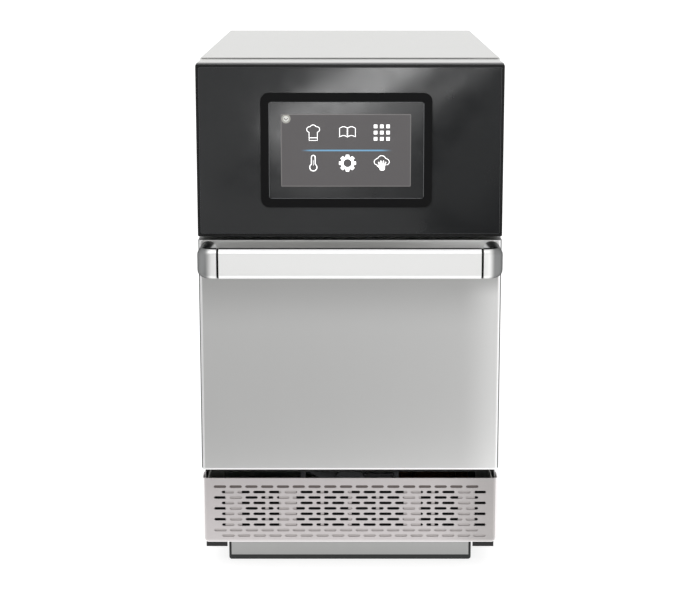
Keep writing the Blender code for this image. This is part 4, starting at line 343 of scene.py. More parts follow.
def brushed_lengthwise(hue):
    # The same sheet with its lines along the cabinet, as it comes off the roll, and painted light on the
    # faces of its front and rear edges.
    material, shader = surface("brushed_lengthwise", hue, 1.0, 0.36, 0.06, BRUSHED_LENGTHWISE, 0.5)
    adjust(shader, {"Anisotropic": 0.35})
    painted_end_light = ramp(away_from(facing(shader, "Y")), 0.5, 0.9)
    painted_milky_tint(shader, painted_end_light, linear("#ffffff"))
    return material


def rolled_stainless(hue):
    # Cold-rolled sheet, left as it comes: a cloudy grey with little grain.
    return surface("rolled_stainless", hue, 1.0, 0.34, 0.05, even(0.002), 0.3)[0]


def punched_stainless(hue, right):
    # Punched and deburred sheet: a dense warm satin with no clear direction, with painted shade that
    # greys its right end and a painted highlight on its folds.
    material, shader = surface("punched_stainless", hue, 1.0, 0.44, 0.05, even(0.0012), 0.35, shift=0.04)
    clear, shade_end = right - 0.0775, right - 0.0075
    tinted(shader, ramp(place_along(shader, "X"), clear, shade_end), linear("#b4b0af"))
    painted_edge_highlight(shader, linear("#efecec"))
    return material


def carrier_painted_shade(hue, top):
    # Galvanised strip behind the grille, darker towards its top: painted shadow under the grille's top.
    material, shader = surface("carrier_painted_shade", hue, 0.6, 0.5, 0.06, even(0.003), 0.2)
    unshaded, fully_shaded = top - 0.012, top - 0.008
    tinted(shader, ramp(place_along(shader, "Z"), unshaded, fully_shaded), linear("#6b6361"))
    return material


def heat_tinted_stainless(hue):
    # Stainless that has been hot: straw and brown patches over a soft grey.
    material, shader = surface("heat_tinted_stainless", hue, 1.0, 0.33, 0.07, (0.0015, 0.03, 0.0015), 0.3)
    patches = grain(shader, (0.12, 0.10, 0.10), 4.0)
    settings = {"From Min": 0.42, "From Max": 0.72, "To Max": 0.55}
    straw = add_node(shader, "ShaderNodeMapRange", settings, {"Value": patches})
    tinted(shader, straw.outputs["Result"], linear("#a88a5c"))
    return material


def galvanised_steel(hue):
    # Zinc-coated sheet: a mosaic of crystals a few millimetres across.
    material, shader = surface("galvanised_steel", hue, 1.0, 0.42, 0.08, even(0.004), 0.2)
    flakes = add_node(shader, "ShaderNodeTexVoronoi", {"Scale": 140.0}, {"Vector": coordinates(shader)})
    settings = {"To Min": 0.34, "To Max": 0.5}
    rough = add_node(shader, "ShaderNodeMapRange", settings, {"Value": flakes.outputs["Distance"]})
    wire(rough.outputs["Result"], shader, "Roughness")
    return material


def satin_paint(hue):
    # Baked satin paint on sheet steel: a faint orange peel that softens the light.
    material, shader = surface("satin_paint", hue, 0.0, 0.38, 0.05, even(0.0018), 0.25, shift=0.02)
    adjust(shader, {"Coat Weight": 0.15, "Coat Roughness": 0.25})
    return material


def paint_with_shaded_fold(hue, front):
    # The same paint on the head, darker towards its front fold: painted shade on the fold.
    material = satin_paint(hue)
    material.name = "paint_with_shaded_fold"
    shader = material.node_tree.nodes["Principled BSDF"]
    fold_unshaded, fold_shaded = front + 0.02, front + 0.004
    share = ramp(place_along(shader, "Y"), fold_unshaded, fold_shaded)
    tinted(shader, share, linear("#5c5d5e"))
    return material


def powder_coat(hue):
    # Black polyester powder: a fine pebbled skin that hides the folds. Its up-facing floor is tinted
    # pale: painted light in the shaded gap under the door.
    material, shader = surface("powder_coat", hue, 0.0, 0.6, 0.08, even(0.0008), 0.6, shift=0.12)
    painted_top_tone(shader, linear("#dcdee0"))
    return material


def satin_handle(hue):
    # Extruded aluminium, blasted and clear anodised: the milky oxide scatters half the light. Its rounded
    # edges get a painted pale highlight, and its top a dark line of painted shade.
    material, shader = surface(
        "satin_handle", hue, 0.35, 0.36, 0.03, (0.012, 0.0009, 0.0009), 0.08, shift=0.012
    )
    rounded = ramp(away_from(facing(shader, "Z")), 0.1, 0.5)
    tinted(shader, rounded, linear("#f8f8f8"))
    painted_top_tone(shader, linear("#2c2d2e"))
    return material


def cast_elbow(hue, bend, root):
    # Die-cast zinc, satin plated, with painted light and shade: bright at the seam and grey round the
    # bend, then dark on top and pale on the inner flank as it runs back to the door.
    material, shader = surface(
        "cast_elbow", hue, 0.75, 0.38, 0.02, (0.0009, 0.0009, 0.03), 0.0, shift=0.015
    )
    adjust(shader, {"Specular Tint": (*linear("#3c3e3f"), 1.0)})
    across = place_along(shader, "X")
    tinted(shader, ramp(away_from(across), *bend), linear("#848585"))
    behind = ramp(place_along(shader, "Y"), *root)
    top = ramp(facing(shader, "Z"), 0.1, 0.5)
    painted_milky_tint(shader, both(behind, top), linear("#0c0e0f"))
    inner_flank = ramp(both(facing(shader, "X"), across), -0.09, -0.13)
    tinted(shader, both(behind, inner_flank), linear("#f4f5f5"))
    painted_top_tone(shader, linear("#1c1e1f"))
    return material


def moulded_plastic(name, hue, roughness=0.45, specular=0.5):
    # Spark-eroded mould texture: an even fine stipple.
    material, shader = surface(name, hue, 0.0, roughness, 0.06, even(0.0007), 0.4, shift=0.1)
    adjust(shader, {"Specular IOR Level": specular})
    return material


def back_painted_glass(hue):
    # Toughened glass painted on its back: deep black under one clean reflection, slightly softened.
    material, shader = surface("back_painted_glass", hue, 0.0, 0.09, 0.02, even(0.03), 0.0, shift=0.1)
    adjust(shader, {"IOR": GLASS_IOR})
    return material


def anti_glare_glass(hue):
    # Etched cover glass of the screen: the same black, with a softer reflection.
    material, shader = surface("anti_glare_glass", hue, 0.0, 0.12, 0.02, even(0.02), 0.0, shift=0.1)
    adjust(shader, {"IOR": GLASS_IOR})
    return material


def lit_display(hue):
    # A backlit panel: its dark grey ground glows softly and a little unevenly over a nearly black face.
    material, shader = surface("lit_display", hue, 0.0, 0.3, 0.02, even(0.012), 0.0, clouds=0.05)
    tint = shader.inputs["Base Color"].links[0].from_socket
    shader.id_data.links.remove(shader.inputs["Base Color"].links[0])
    wire(tint, shader, "Emission Color")
    adjust(shader, {"Base Color": (*linear("#0a0a0a"), 1.0), "Emission Strength": 0.70})
    return material


def lit_ink(name, hue, strength):
    # Bright marks of the display, with the slight unevenness of its backlight.
    material, shader = surface(name, hue, 0.0, 0.4, 0.02, even(0.006), 0.0, shift=0.03)
    wire(shader.inputs["Base Color"].links[0].from_socket, shader, "Emission Color")
    adjust(shader, {"Emission Strength": strength})
    return material


def fading_line(hue, ground, half):
    # A coloured line that fades into the display towards both ends.
    material = lit_ink("fading_line", hue, 0.9)
    shader = material.node_tree.nodes["Principled BSDF"]
    ends = ramp(away_from(place_along(shader, "X"), SCREEN_X), half * 0.7, half)
    faded = tuple(channel * 0.85 for channel in ground)
    tinted(shader, ends, faded, "Emission Color")
    shader.id_data.links.remove(shader.inputs["Base Color"].links[0])
    adjust(shader, {"Base Color": (0.0, 0.0, 0.0, 1.0)})
    return material


def vulcanised_rubber(hue):
    # Moulded nitrile rubber: a dull skin with dust in its pores.
    return surface("vulcanised_rubber", hue, 0.0, 0.78, 0.06, even(0.0012), 0.5, shift=0.15)[0]


def knitted_seal(hue):
    # A knitted wire seal: tight loops a millimetre across.
    material, shader = surface("knitted_seal", hue, 0.7, 0.5, 0.1, even(0.001), 0.5, shift=0.2)
    loops = add_node(shader, "ShaderNodeTexVoronoi", {"Scale": 900.0}, {"Vector": coordinates(shader)})
    embossed(shader, loops.outputs["Distance"], 0.6, 0.0002)
    return material


def woven_mesh(hue):
    # Fine crossed wires, drawn at a 1.5 mm pitch so that they show.
    material, shader = surface("woven_mesh", hue, 0.0, 0.8, 0.05, even(0.0015), 0.3, shift=0.3)
    weave = add_node(shader, "ShaderNodeTexChecker", {"Scale": 1333.0}, {"Vector": coordinates(shader)})
    embossed(shader, weave.outputs["Fac"], 0.5, 0.0003)
    return material


def mineral_fibre(hue):
    # Needled blanket: short matted fibres.
    return surface(
        "mineral_fibre", hue, 0.0, 0.95, 0.03, (0.0012, 0.006, 0.0012), 0.9, shift=0.2, depth=0.0006
    )[0]


def fired_ceramic(hue):
    # Extruded and fired cordierite: dry and granular.
    return surface("fired_ceramic", hue, 0.0, 0.85, 0.06, even(0.0009), 0.5, shift=0.1)[0]


def cast_aluminium(hue):
    # Sand-cast plate, worn by pans: grainy with brighter rubbed patches.
    return surface("cast_aluminium", hue, 1.0, 0.46, 0.1, even(0.0016), 0.5, shift=0.14)[0]


def drawn_aluminium(hue):
    # Deep-drawn can: smooth with faint rings.
    return surface("drawn_aluminium", hue, 1.0, 0.32, 0.05, (0.01, 0.0008, 0.01), 0.2)[0]


def oxidised_heater(hue):
    # A sheathed heating rod after use: nearly black with a blue-brown bloom.
    return surface("oxidised_heater", hue, 0.8, 0.5, 0.08, even(0.004), 0.3, shift=0.25)[0]


def spring_steel(hue):
    # Oil-hardened wire: dark with a low sheen.
    return surface("spring_steel", hue, 1.0, 0.36, 0.05, even(0.001), 0.2, shift=0.1)[0]


def varnished_laminations(hue):
    # Stacked silicon steel under varnish: thin brown plates half a millimetre thick.
    return surface("varnished_laminations", hue, 0.3, 0.4, 0.06, (0.02, 0.0005, 0.02), 0.8, shift=0.2)[0]


def solder_mask(hue):
    # Green epoxy mask over copper: smooth with faint tracks underneath.
    return surface("solder_mask", hue, 0.0, 0.32, 0.05, (0.0012, 0.006, 0.0012), 0.3, shift=0.25)[0]


def ground_glass_edge(hue):
    # The arrissed edge of the glass: a thin frosted line that catches the light.
    return surface("ground_glass_edge", hue, 0.0, 0.4, 0.05, even(0.001), 0.3)[0]


def plated_screw(hue):
    # Nickel-plated steel screw: bright with a fine turned finish.
    return surface("plated_screw", hue, 1.0, 0.26, 0.04, even(0.0006), 0.2)[0]


def studio_floor(hue):
    # Opal acrylic lit from beneath: its own light all but washes the shadows out.
    unlit, glow = 0.35, 0.85
    grey = tuple(channel * unlit for channel in hue)
    material, shader = surface(
        "studio_floor", grey, 0.0, 0.9, 0.02, even(0.02), 0.0, clouds=1.5, shift=0.004
    )
    adjust(shader, {"Emission Color": (*hue, 1.0), "Emission Strength": glow})
    return material


def studio_cloth(hue):
    # Matt woven cloth on a stand, grey or black: the steel and the glass mirror it.
    return surface("studio_cloth", hue, 0.0, 0.95, 0.02, even(0.004), 0.0, clouds=0.5)[0]


def dress(material, *nodes):
    """Gives CAD nodes their material."""
    for name in nodes:
        obj = NODES[name]
        obj.data.materials.clear()
        obj.data.materials.append(material)


def both_sides(name):
    return f"{name}_left", f"{name}_right"


# Meshes


def finished(bm, name, material, body):
    """Turns a bmesh into a piece that rides on a body."""
    bmesh.ops.recalc_face_normals(bm, faces=bm.faces)
    mesh = bpy.data.meshes.new(name)
    bm.to_mesh(mesh)
    bm.free()
    obj = bpy.data.objects.new(name, mesh)
    bpy.context.scene.collection.objects.link(obj)
    obj.data.materials.append(material)
    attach(obj, body)
    return obj


def thicken(obj, thickness):
    solid = obj.modifiers.new("thickness", "SOLIDIFY")
    solid.thickness = thickness
    solid.offset = 0


def rounded_rectangle(width, height, radius, steps=4):
    """Outline about the middle, in X and Z."""
    points = []
    for turn, (side, up) in enumerate(((1, 1), (-1, 1), (-1, -1), (1, -1))):
        centre = Vector((side * (width / 2 - radius), up * (height / 2 - radius)))
        for step in range(steps + 1):
            angle = (turn + step / steps) * math.pi / 2
            points.append(centre + radius * Vector((math.cos(angle), math.sin(angle))))
    return points


def arc(centre, radius, start, end, steps):
    """Points on an arc, from one angle to another in degrees."""
    angles = (math.radians(start + (end - start) * n / steps) for n in range(steps + 1))
    return [Vector(centre) + radius * Vector((math.cos(a), math.sin(a))) for a in angles]


def patch(bm, points, y):
    """A flat shape that faces the front."""
    bm.faces.new([bm.verts.new((p[0], y, p[1])) for p in points])


def join_rails(bm, rails, closed=True):
    """Faces along a row of pairs of corners, round to the first pair where the row is closed."""
    for n in range(len(rails) if closed else len(rails) - 1):
        first, second = rails[n], rails[(n + 1) % len(rails)]
        bm.faces.new((first[0], second[0], second[1], first[1]))


def join_loops(bm, loops):
    """Faces between closed rows of corners, of which the first may be a single point."""
    for near, far in zip(loops, loops[1:]):
        for n, corner in enumerate(far):
            after = (n + 1) % len(far)
            corners = [near[n % len(near)], corner, far[after]]
            if len(near) > 1:
                corners.append(near[after])
            bm.faces.new(corners)


def ribbon(bm, points, width, y, closed=False):
    """A line of even width along points in X and Z."""
    count = len(points)
    rails = []
    for n, point in enumerate(points):
        before = points[(n - 1) % count] if closed or n > 0 else point
        after = points[(n + 1) % count] if closed or n < count - 1 else point
        way = (Vector(after) - Vector(before)).normalized()
        across = Vector((-way.y, way.x)) * width / 2
        edges = (Vector(point) + across, Vector(point) - across)
        rails.append([bm.verts.new((edge.x, y, edge.y)) for edge in edges])
    join_rails(bm, rails, closed)


def ring(bm, outer, inner, y):
    """A flat band between two outlines with the same number of points."""
    join_rails(bm, [[bm.verts.new((p[0], y, p[1])) for p in pair] for pair in zip(outer, inner)])


# Icons: each draws itself about a middle, at a size


def hat_icon(bm, middle, size, line, y):
    """A cook's hat: three puffs over a tall band."""
    half, foot = 0.26, -0.5
    puffs = (((-0.24, 0.2), 0.17, 262, 95), ((0.0, 0.29), 0.2, 152, 28), ((0.24, 0.2), 0.17, 85, -82))
    outline = [Vector((-half, foot))]
    for centre, radius, start, end in puffs:
        outline += arc(centre, radius, start, end, 9)
    outline.append(Vector((half, foot)))
    ribbon(bm, [middle + size * point for point in outline], line, y, closed=True)
    band = [Vector((side * half, foot + 0.17)) for side in (-1, 1)]
    ribbon(bm, [middle + size * point for point in band], line, y)


def book_icon(bm, middle, size, line, y):
    """An open book: two bowed pages."""
    half, reach, bow = 0.5, 0.28, 0.1
    shares = (0, 0.2, 0.4, 0.6, 0.8, 1)
    for side in (-1, 1):
        bowed = [Vector((side * half * share, bow * math.sin(math.pi * share))) for share in shares]
        page = [point + Vector((0, reach)) for point in bowed]
        page += [point - Vector((0, reach)) for point in reversed(bowed)]
        ribbon(bm, [middle + size * point for point in page], line, y, closed=True)


def grid_icon(bm, middle, size, line, y):
    """Nine squares."""
    pitch = size * 0.395
    tile = size * 0.22
    for column in (-1, 0, 1):
        for row in (-1, 0, 1):
            corners = rounded_rectangle(tile, tile, tile * 0.04, 2)
            patch(bm, [middle + Vector((column * pitch, row * pitch)) + c for c in corners], y)


def thermometer_icon(bm, middle, size, line, y):
    """A tube over a bulb, with a thin stem."""
    tube, bulb = size * 0.12, size * 0.23
    low_z, high_z = middle.y - size * 0.27, middle.y + size * 0.38
    lower = arc((middle.x, low_z), bulb, 122, 418, 16)
    upper = arc((middle.x, high_z), tube, 0, 180, 8)
    ribbon(bm, lower + upper, line * 1.35, y, closed=True)
    stem = [Vector((middle.x, low_z + bulb / 2)), Vector((middle.x, middle.y + size * 0.2))]
    ribbon(bm, stem, line / 2, y)


def gear_icon(bm, middle, size, line, y):
    """Eight teeth round a hole."""
    outer, inner = [], []
    teeth, steps = 8, 8
    for n in range(teeth * steps):
        angle = 2 * math.pi * n / (teeth * steps)
        way = Vector((math.cos(angle), math.sin(angle)))
        reach = 0.54 if (n + steps // 4) % steps <= steps // 2 else 0.42
        outer.append(middle + way * size * reach)
        inner.append(middle + way * size * 0.26)
    ring(bm, outer, inner, y)


def finger_outline(palm, across, lean, reach, radius):
    """A finger with a round tip that leans this many degrees to the right, from a place on the palm."""
    way = Vector((math.sin(math.radians(lean)), math.cos(math.radians(lean))))
    root = palm + Vector((across, 0.1))
    side = Vector((way.y, -way.x)) * radius
    return [root - side, root + side, *arc(root + way * reach, radius, -lean, 180 - lean, 6)]


def hand_icon(bm, middle, size, line, y):
    """A raised hand before a cloud."""
    puffs = (((-0.29, 0.08), 0.19, 268, 112), ((0.0, 0.22), 0.26, 158, 22), ((0.29, 0.08), 0.19, 68, -88))
    outline = []
    for centre, radius, start, end in puffs:
        outline += arc(centre, radius, start, end, 8)
    ribbon(bm, [middle + size * point for point in outline], line, y)
    palm = Vector((0.03, -0.3))
    shapes = [[palm + p for p in rounded_rectangle(0.34, 0.34, 0.12, 5)]]
    for finger, reach in enumerate((0.26, 0.33, 0.33, 0.26)):
        shapes.append(finger_outline(palm, (finger - 1.5) * 0.09, (finger - 1.5) * 13, reach, 0.038))
    shapes.append(finger_outline(palm + Vector((-0.09, -0.12)), 0.0, -52, 0.26, 0.045))
    for shape in shapes:
        patch(bm, [middle + size * point for point in shape], y)


# Operators


class OVEN_OT_steel_sheets(Operator):
    """Brushes the door, the sides, the rear and the plinth"""

    bl_idname = "oven.steel_sheets"
    bl_label = "Steel Sheets"

    def execute(self, context):
        hue = context.scene.oven_colours.stainless
        dress(brushed_stainless(hue), "rear_panel")
        # The plinth gets a darker copy of the same brushed sheet: painted shade.
        dress(brushed_stainless(linear("#a6a6a5")), "front_foot_cover")
        bar_z = low("handle_bar")[2], high("handle_bar")[2]
        half, foot = high("door_outer_skin")[0], low("door_outer_skin")[2]
        dress(brushed_door(context.scene.oven_colours.door, bar_z, half, foot), "door_outer_skin")
        dress(brushed_lengthwise(hue), *both_sides("side_panel"))
        rolled = rolled_stainless(linear("#c9c9c6"))
        inside = ["front_frame", "door_inner_panel"]
        for name in ("hinge_bracket", "hinge_pin", "door_hinge_arm"):
            inside += both_sides(name)
        dress(rolled, *inside)
        dress(galvanised_steel(linear("#b9bcbe")), "electronics_shelf", "hot_air_duct")
        return {"FINISHED"}


class OVEN_OT_painted_cabinet(Operator):
    """Paints the head and the top, and coats the base"""

    bl_idname = "oven.painted_cabinet"
    bl_label = "Painted Cabinet"

    def execute(self, context):
        colours = context.scene.oven_colours
        dress(satin_paint(colours.paint), "top_cover")
        dress(paint_with_shaded_fold(colours.paint, low("control_housing")[1]), "control_housing")
        dress(powder_coat(linear("#141414")), "base_pan")
        return {"FINISHED"}


class OVEN_OT_head_glass(Operator):
    """Finishes the glass head with its frame and bezel"""

    bl_idname = "oven.head_glass"
    bl_label = "Head Glass"

    def execute(self, context):
        colours = context.scene.oven_colours
        sizes = context.scene.oven_sizes
        dress(moulded_plastic("moulded_frame", colours.black, 0.3, 0.35), "control_frame")
        matt = moulded_plastic("moulded_bezel", colours.black, 0.55, 0.15)
        dress(matt, "screen_bezel", *both_sides("handle_spacer"))
        dress(back_painted_glass(colours.glass), "control_glass")
        dress(anti_glare_glass(colours.glass), "touch_screen")
        dark_edge = ground_glass_edge(linear("#343638"))
        self.add_edge(sizes, "glass_edge", "control_glass", 0.0, dark_edge)
        pale_edge = ground_glass_edge(linear("#6f7173"))
        self.add_edge(sizes, "screen_edge", "touch_screen", sizes.bezel_lap, pale_edge)
        return {"FINISHED"}

    def add_edge(self, sizes, name, node, inset, material):
        """A thin band along the edge of a sheet of glass, or this far inside it."""
        bm = bmesh.new()
        edge = sizes.glass_edge
        corner_low, corner_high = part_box(node)
        middle = Vector((corner_low[0] + corner_high[0], corner_low[2] + corner_high[2])) / 2
        width, height = (corner_high[axis] - corner_low[axis] - 2 * inset for axis in (0, 2))
        outer = [middle + p for p in rounded_rectangle(width, height, 3 * edge)]
        inner = [middle + p for p in rounded_rectangle(width - 2 * edge, height - 2 * edge, 2 * edge)]
        ring(bm, outer, inner, corner_low[1] - sizes.film / 2)
        thicken(finished(bm, name, material, "cabinet"), sizes.film)


class OVEN_OT_touch_screen(Operator):
    """Adds the lit display with its icons, divider and status dot"""

    bl_idname = "oven.touch_screen"
    bl_label = "Touch Screen"

    def execute(self, context):
        colours = context.scene.oven_colours
        sizes = context.scene.oven_sizes
        middle = Vector((SCREEN_X - sizes.display_offset, SCREEN_Z))
        film = sizes.film
        ground_y = SCREEN_Y - film
        mark_y = ground_y - film
        bm = bmesh.new()
        outline = rounded_rectangle(sizes.display_width, sizes.display_height, sizes.display_corner)
        patch(bm, [middle + p for p in outline], ground_y)
        self.add_film(bm, "display_ground", lit_display(colours.display), film)

        rim = bmesh.new()
        edge = sizes.display_edge
        inner = rounded_rectangle(sizes.display_width - 2 * edge, sizes.display_height - 2 * edge, edge)
        ring(rim, [middle + p for p in outline], [middle + p for p in inner], mark_y)
        pale = lit_ink("display_rim_light", linear("#757271"), 0.33)
        self.add_film(rim, "display_rim", pale, film)

        icons = bmesh.new()
        rows = (
            (sizes.upper_row, (hat_icon, book_icon, grid_icon)),
            (-sizes.lower_row, (thermometer_icon, gear_icon, hand_icon)),
        )
        for rise, drawings in rows:
            for column, draw in enumerate(drawings):
                place = middle + Vector(((column - 1) * sizes.icon_pitch + sizes.icon_shift, rise))
                draw(icons, place, sizes.icon, sizes.icon_line, mark_y)
        self.add_film(icons, "display_icons", lit_ink("lit_ink", colours.ink, 1.0), film)

        line = bmesh.new()
        half = sizes.divider_width / 2
        ends = [middle + Vector((sizes.icon_shift + side * half, 0)) for side in (-1, 1)]
        ribbon(line, ends, sizes.divider_height, mark_y)
        fading = fading_line(colours.accent, colours.display, half)
        self.add_film(line, "display_divider", fading, film)
        self.add_dot(middle, sizes, mark_y)
        return {"FINISHED"}

    def add_film(self, bm, name, material, film):
        """Turns flat faces into a thin layer of the lit screen."""
        thicken(finished(bm, name, material, "cabinet"), film)

    def add_dot(self, middle, sizes, y):
        """A pearly disc with a small tick of its own, at the upper left."""
        radius, film = sizes.status_dot, sizes.film
        left, top = radius * 1.12 - sizes.display_width / 2, sizes.display_height / 2
        centre = middle + Vector((left, top - radius))
        dot = bmesh.new()
        patch(dot, arc(centre, radius, 0, 350, 35), y)
        self.add_film(dot, "status_dot", lit_ink("pearl_lens", linear("#8d8c86"), 0.3), film)
        core = bmesh.new()
        patch(core, arc(centre, radius * 0.62, 0, 350, 35), y - film)
        self.add_film(core, "status_core", lit_ink("pearl_core", linear("#bcbcb8"), 0.35), film)
        tick = bmesh.new()
        corner = centre - Vector((0, radius * 0.3))
        reach = radius * 0.42
        mark = [corner + Vector((-reach, reach)), corner, corner + Vector((reach, reach))]
        ribbon(tick, mark, sizes.icon_line * 1.2, y - 2 * film)
        self.add_film(tick, "status_tick", moulded_plastic("status_mark", linear("#2f2e2c")), film)


class OVEN_OT_handle(Operator):
    """Finishes the handle's bar and its cast ends"""

    bl_idname = "oven.handle"
    bl_label = "Handle"

    def execute(self, context):
        colours = context.scene.oven_colours
        dress(satin_handle(colours.handle), "handle_bar")
        seam, tip = high("handle_bar")[0], high("handle_end_right")[0]
        front, back = low("handle_end_right")[1], high("handle_end_right")[1]
        bend_shares, root_shares = (0.3, 0.62), (0.25, 0.4)
        bend = [seam + (tip - seam) * share for share in bend_shares]
        root = [front + (back - front) * share for share in root_shares]
        cast = cast_elbow(colours.elbow, bend, root)
        for side, node in zip((-1, 1), both_sides("handle_end")):
            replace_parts(self.add_elbow(context.scene.oven_sizes, side, node, cast), node)
        return {"FINISHED"}

    def add_elbow(self, sizes, side, node, material):
        """A casting that turns the corner from the bar and runs back to the door, fully round there."""
        box_low, box_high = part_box("handle_end_right")
        bend, arm, root, edge = sizes.elbow_bend, sizes.elbow_arm, sizes.elbow_root, sizes.elbow_edge
        bar = high("handle_bar")[1] - low("handle_bar")[1]
        across, back = box_high[0] - bend, box_low[1] + bend
        height, middle = box_high[2] - box_low[2], (box_low[2] + box_high[2]) / 2
        steps = 8
        # A station is where a section turns, in X and Y, its angle, its thickness and its edge radius.
        stations = [(box_low[0], back, -math.pi / 2, bar, edge)]
        for n in range(steps + 1):
            share = n / steps
            depth, radius = bar + share * (arm - bar), edge + share * (arm / 2 - edge)
            stations.append((across, back, (share - 1) * math.pi / 2, depth, radius))
        stations.append((across, box_high[1], 0.0, root, root / 2))
        # A fully round section keeps a hair of its straight sides, so that no two corners meet.
        nearly_round = 0.999
        bm = bmesh.new()
        loops = []
        for x, y, angle, depth, radius in stations:
            loop = []
            for point in rounded_rectangle(depth, height, radius * nearly_round, 6):
                out = bend - depth / 2 + point.x
                place = side * (x + out * math.cos(angle)), y + out * math.sin(angle), middle + point.y
                loop.append(bm.verts.new(place))
            loops.append(loop)
        join_loops(bm, loops)
        for loop in (loops[0], loops[-1]):
            bm.faces.new(loop)
        piece = finished(bm, f"cast_{node}", material, "door")
        piece.data.shade_smooth()
        piece.data.set_sharp_from_angle(angle=math.radians(35))
        return piece


class OVEN_OT_grille(Operator):
    """Finishes the slotted grille and the filter behind it"""

    bl_idname = "oven.grille"
    bl_label = "Grille and Filter"

    def execute(self, context):
        grille = punched_stainless(context.scene.oven_colours.grille, high("front_grille")[0])
        dress(grille, "front_grille")
        dress(carrier_painted_shade(linear("#b9b4b3"), high("filter_frame")[2]), "filter_frame")
        dress(woven_mesh(linear("#0b0b0c")), "filter_mesh")
        return {"FINISHED"}


class OVEN_OT_feet(Operator):
    """Finishes the rubber feet"""

    bl_idname = "oven.feet"
    bl_label = "Feet"

    def execute(self, context):
        dress(vulcanised_rubber(linear("#2b2c2c")), "front_foot_rail", "rear_foot_rail")
        return {"FINISHED"}


class OVEN_OT_oven_cavity(Operator):
    """Finishes what shows when the door is open"""

    bl_idname = "oven.oven_cavity"
    bl_label = "Oven Cavity"

    def execute(self, context):
        hot = heat_tinted_stainless(linear("#c4c2bd"))
        dress(hot, "cavity_liner", "jet_plate", "air_baffle", "door_plug_panel")
        dress(cast_aluminium(linear("#a3a4a5")), "cook_plate")
        dress(knitted_seal(linear("#4a4a4c")), "door_seal")
        blanket = mineral_fibre(linear("#d6cba9"))
        dress(blanket, "insulation_jacket", "insulation_floor", "door_insulation")
        dress(fired_ceramic(linear("#b3aa9d")), "catalyst")
        dress(oxidised_heater(linear("#4b4542")), "heater_element")
        return {"FINISHED"}


class OVEN_OT_works(Operator):
    """Finishes the fans, the microwave parts, the boards and the switches"""

    bl_idname = "oven.works"
    bl_label = "Inner Works"

    def execute(self, context):
        dress(rolled_stainless(linear("#b3b3b0")), "convection_impeller")
        drawn = drawn_aluminium(linear("#b9bbbd"))
        dress(drawn, "convection_motor", "waveguide", "magnetron", "hv_capacitor")
        dress(varnished_laminations(linear("#6b4c33")), "hv_transformer")
        dress(solder_mask(linear("#1c6a3f")), "screen_board", "relay_board")
        nylon = moulded_plastic("glass_filled_nylon", linear("#6c6d6f"))
        dress(nylon, "cooling_fan_frame", "cooling_fan_rotor")
        dress(moulded_plastic("switch_body", linear("#8c2f22")), *both_sides("interlock_switch"))
        dress(moulded_plastic("natural_nylon", linear("#dcd8cf")), *both_sides("interlock_plunger"))
        dress(spring_steel(linear("#77787a")), *both_sides("hinge_spring"))
        dress(moulded_plastic("gland_nylon", linear("#121213")), "cable_gland")
        return {"FINISHED"}


class OVEN_OT_fasteners(Operator):
    """Adds the screws of the side panels and the rear panel"""

    bl_idname = "oven.fasteners"
    bl_label = "Fasteners"

    def execute(self, context):
        sizes = context.scene.oven_sizes
        bm = bmesh.new()
        for place, way in self.places(sizes):
            self.add_screw(bm, place, way, sizes)
        steel = plated_screw(linear("#c9c9c7"))
        piece = finished(bm, "cabinet_screws", steel, "cabinet")
        piece.data.shade_smooth()
        piece.data.set_sharp_from_angle(angle=math.radians(30))
        return {"FINISHED"}

    def places(self, sizes):
        """Where each screw sits, and which way its head faces."""
        inset = 4 * sizes.screw_radius
        for side, name in zip((-1, 1), both_sides("side_panel")):
            box_low, box_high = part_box(name)
            x = box_low[0] if side < 0 else box_high[0]
            rear, foot = box_high[1] - inset, box_low[2] + inset
            reach = (box_high[1] - box_low[1]) / 2 - inset
            for n in range(3):
                yield Vector((x, rear - n * reach, foot)), Vector((side, 0, 0))
            rise = (box_high[2] - box_low[2]) / 3
            for n in (1, 2):
                yield Vector((x, rear, foot + n * rise)), Vector((side, 0, 0))
        box_low, box_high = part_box("rear_panel")
        half = box_high[0] - inset / 2
        steps = 5
        for side in (-1, 1):
            for n in range(steps):
                z = box_low[2] + inset + n * (box_high[2] - box_low[2] - 2 * inset) / (steps - 1)
                yield Vector((side * half, box_high[1], z)), Vector((0, 1, 0))

    def add_screw(self, bm, place, way, sizes):
        """A low domed head with a socket, turned about its axis."""
        radius, height, socket = sizes.screw_radius, sizes.screw_height, sizes.socket_radius
        floor, shoulder, rim = height * 0.3, height * 0.92, height * 0.35
        profile = [(0, floor), (socket, floor), (socket, height)]
        profile += [(radius * 0.72, shoulder), (radius, rim), (radius, 0)]
        turn = Vector((0, 0, 1)).rotation_difference(way).to_matrix()
        sides = 16
        loops = []
        for reach, rise in profile:
            loop = []
            for n in range(sides):
                angle = 2 * math.pi * n / sides
                point = Vector((reach * math.cos(angle), reach * math.sin(angle), rise))
                loop.append(bm.verts.new(place + turn @ point))
                if reach == 0:
                    break
            loops.append(loop)
        join_loops(bm, loops)


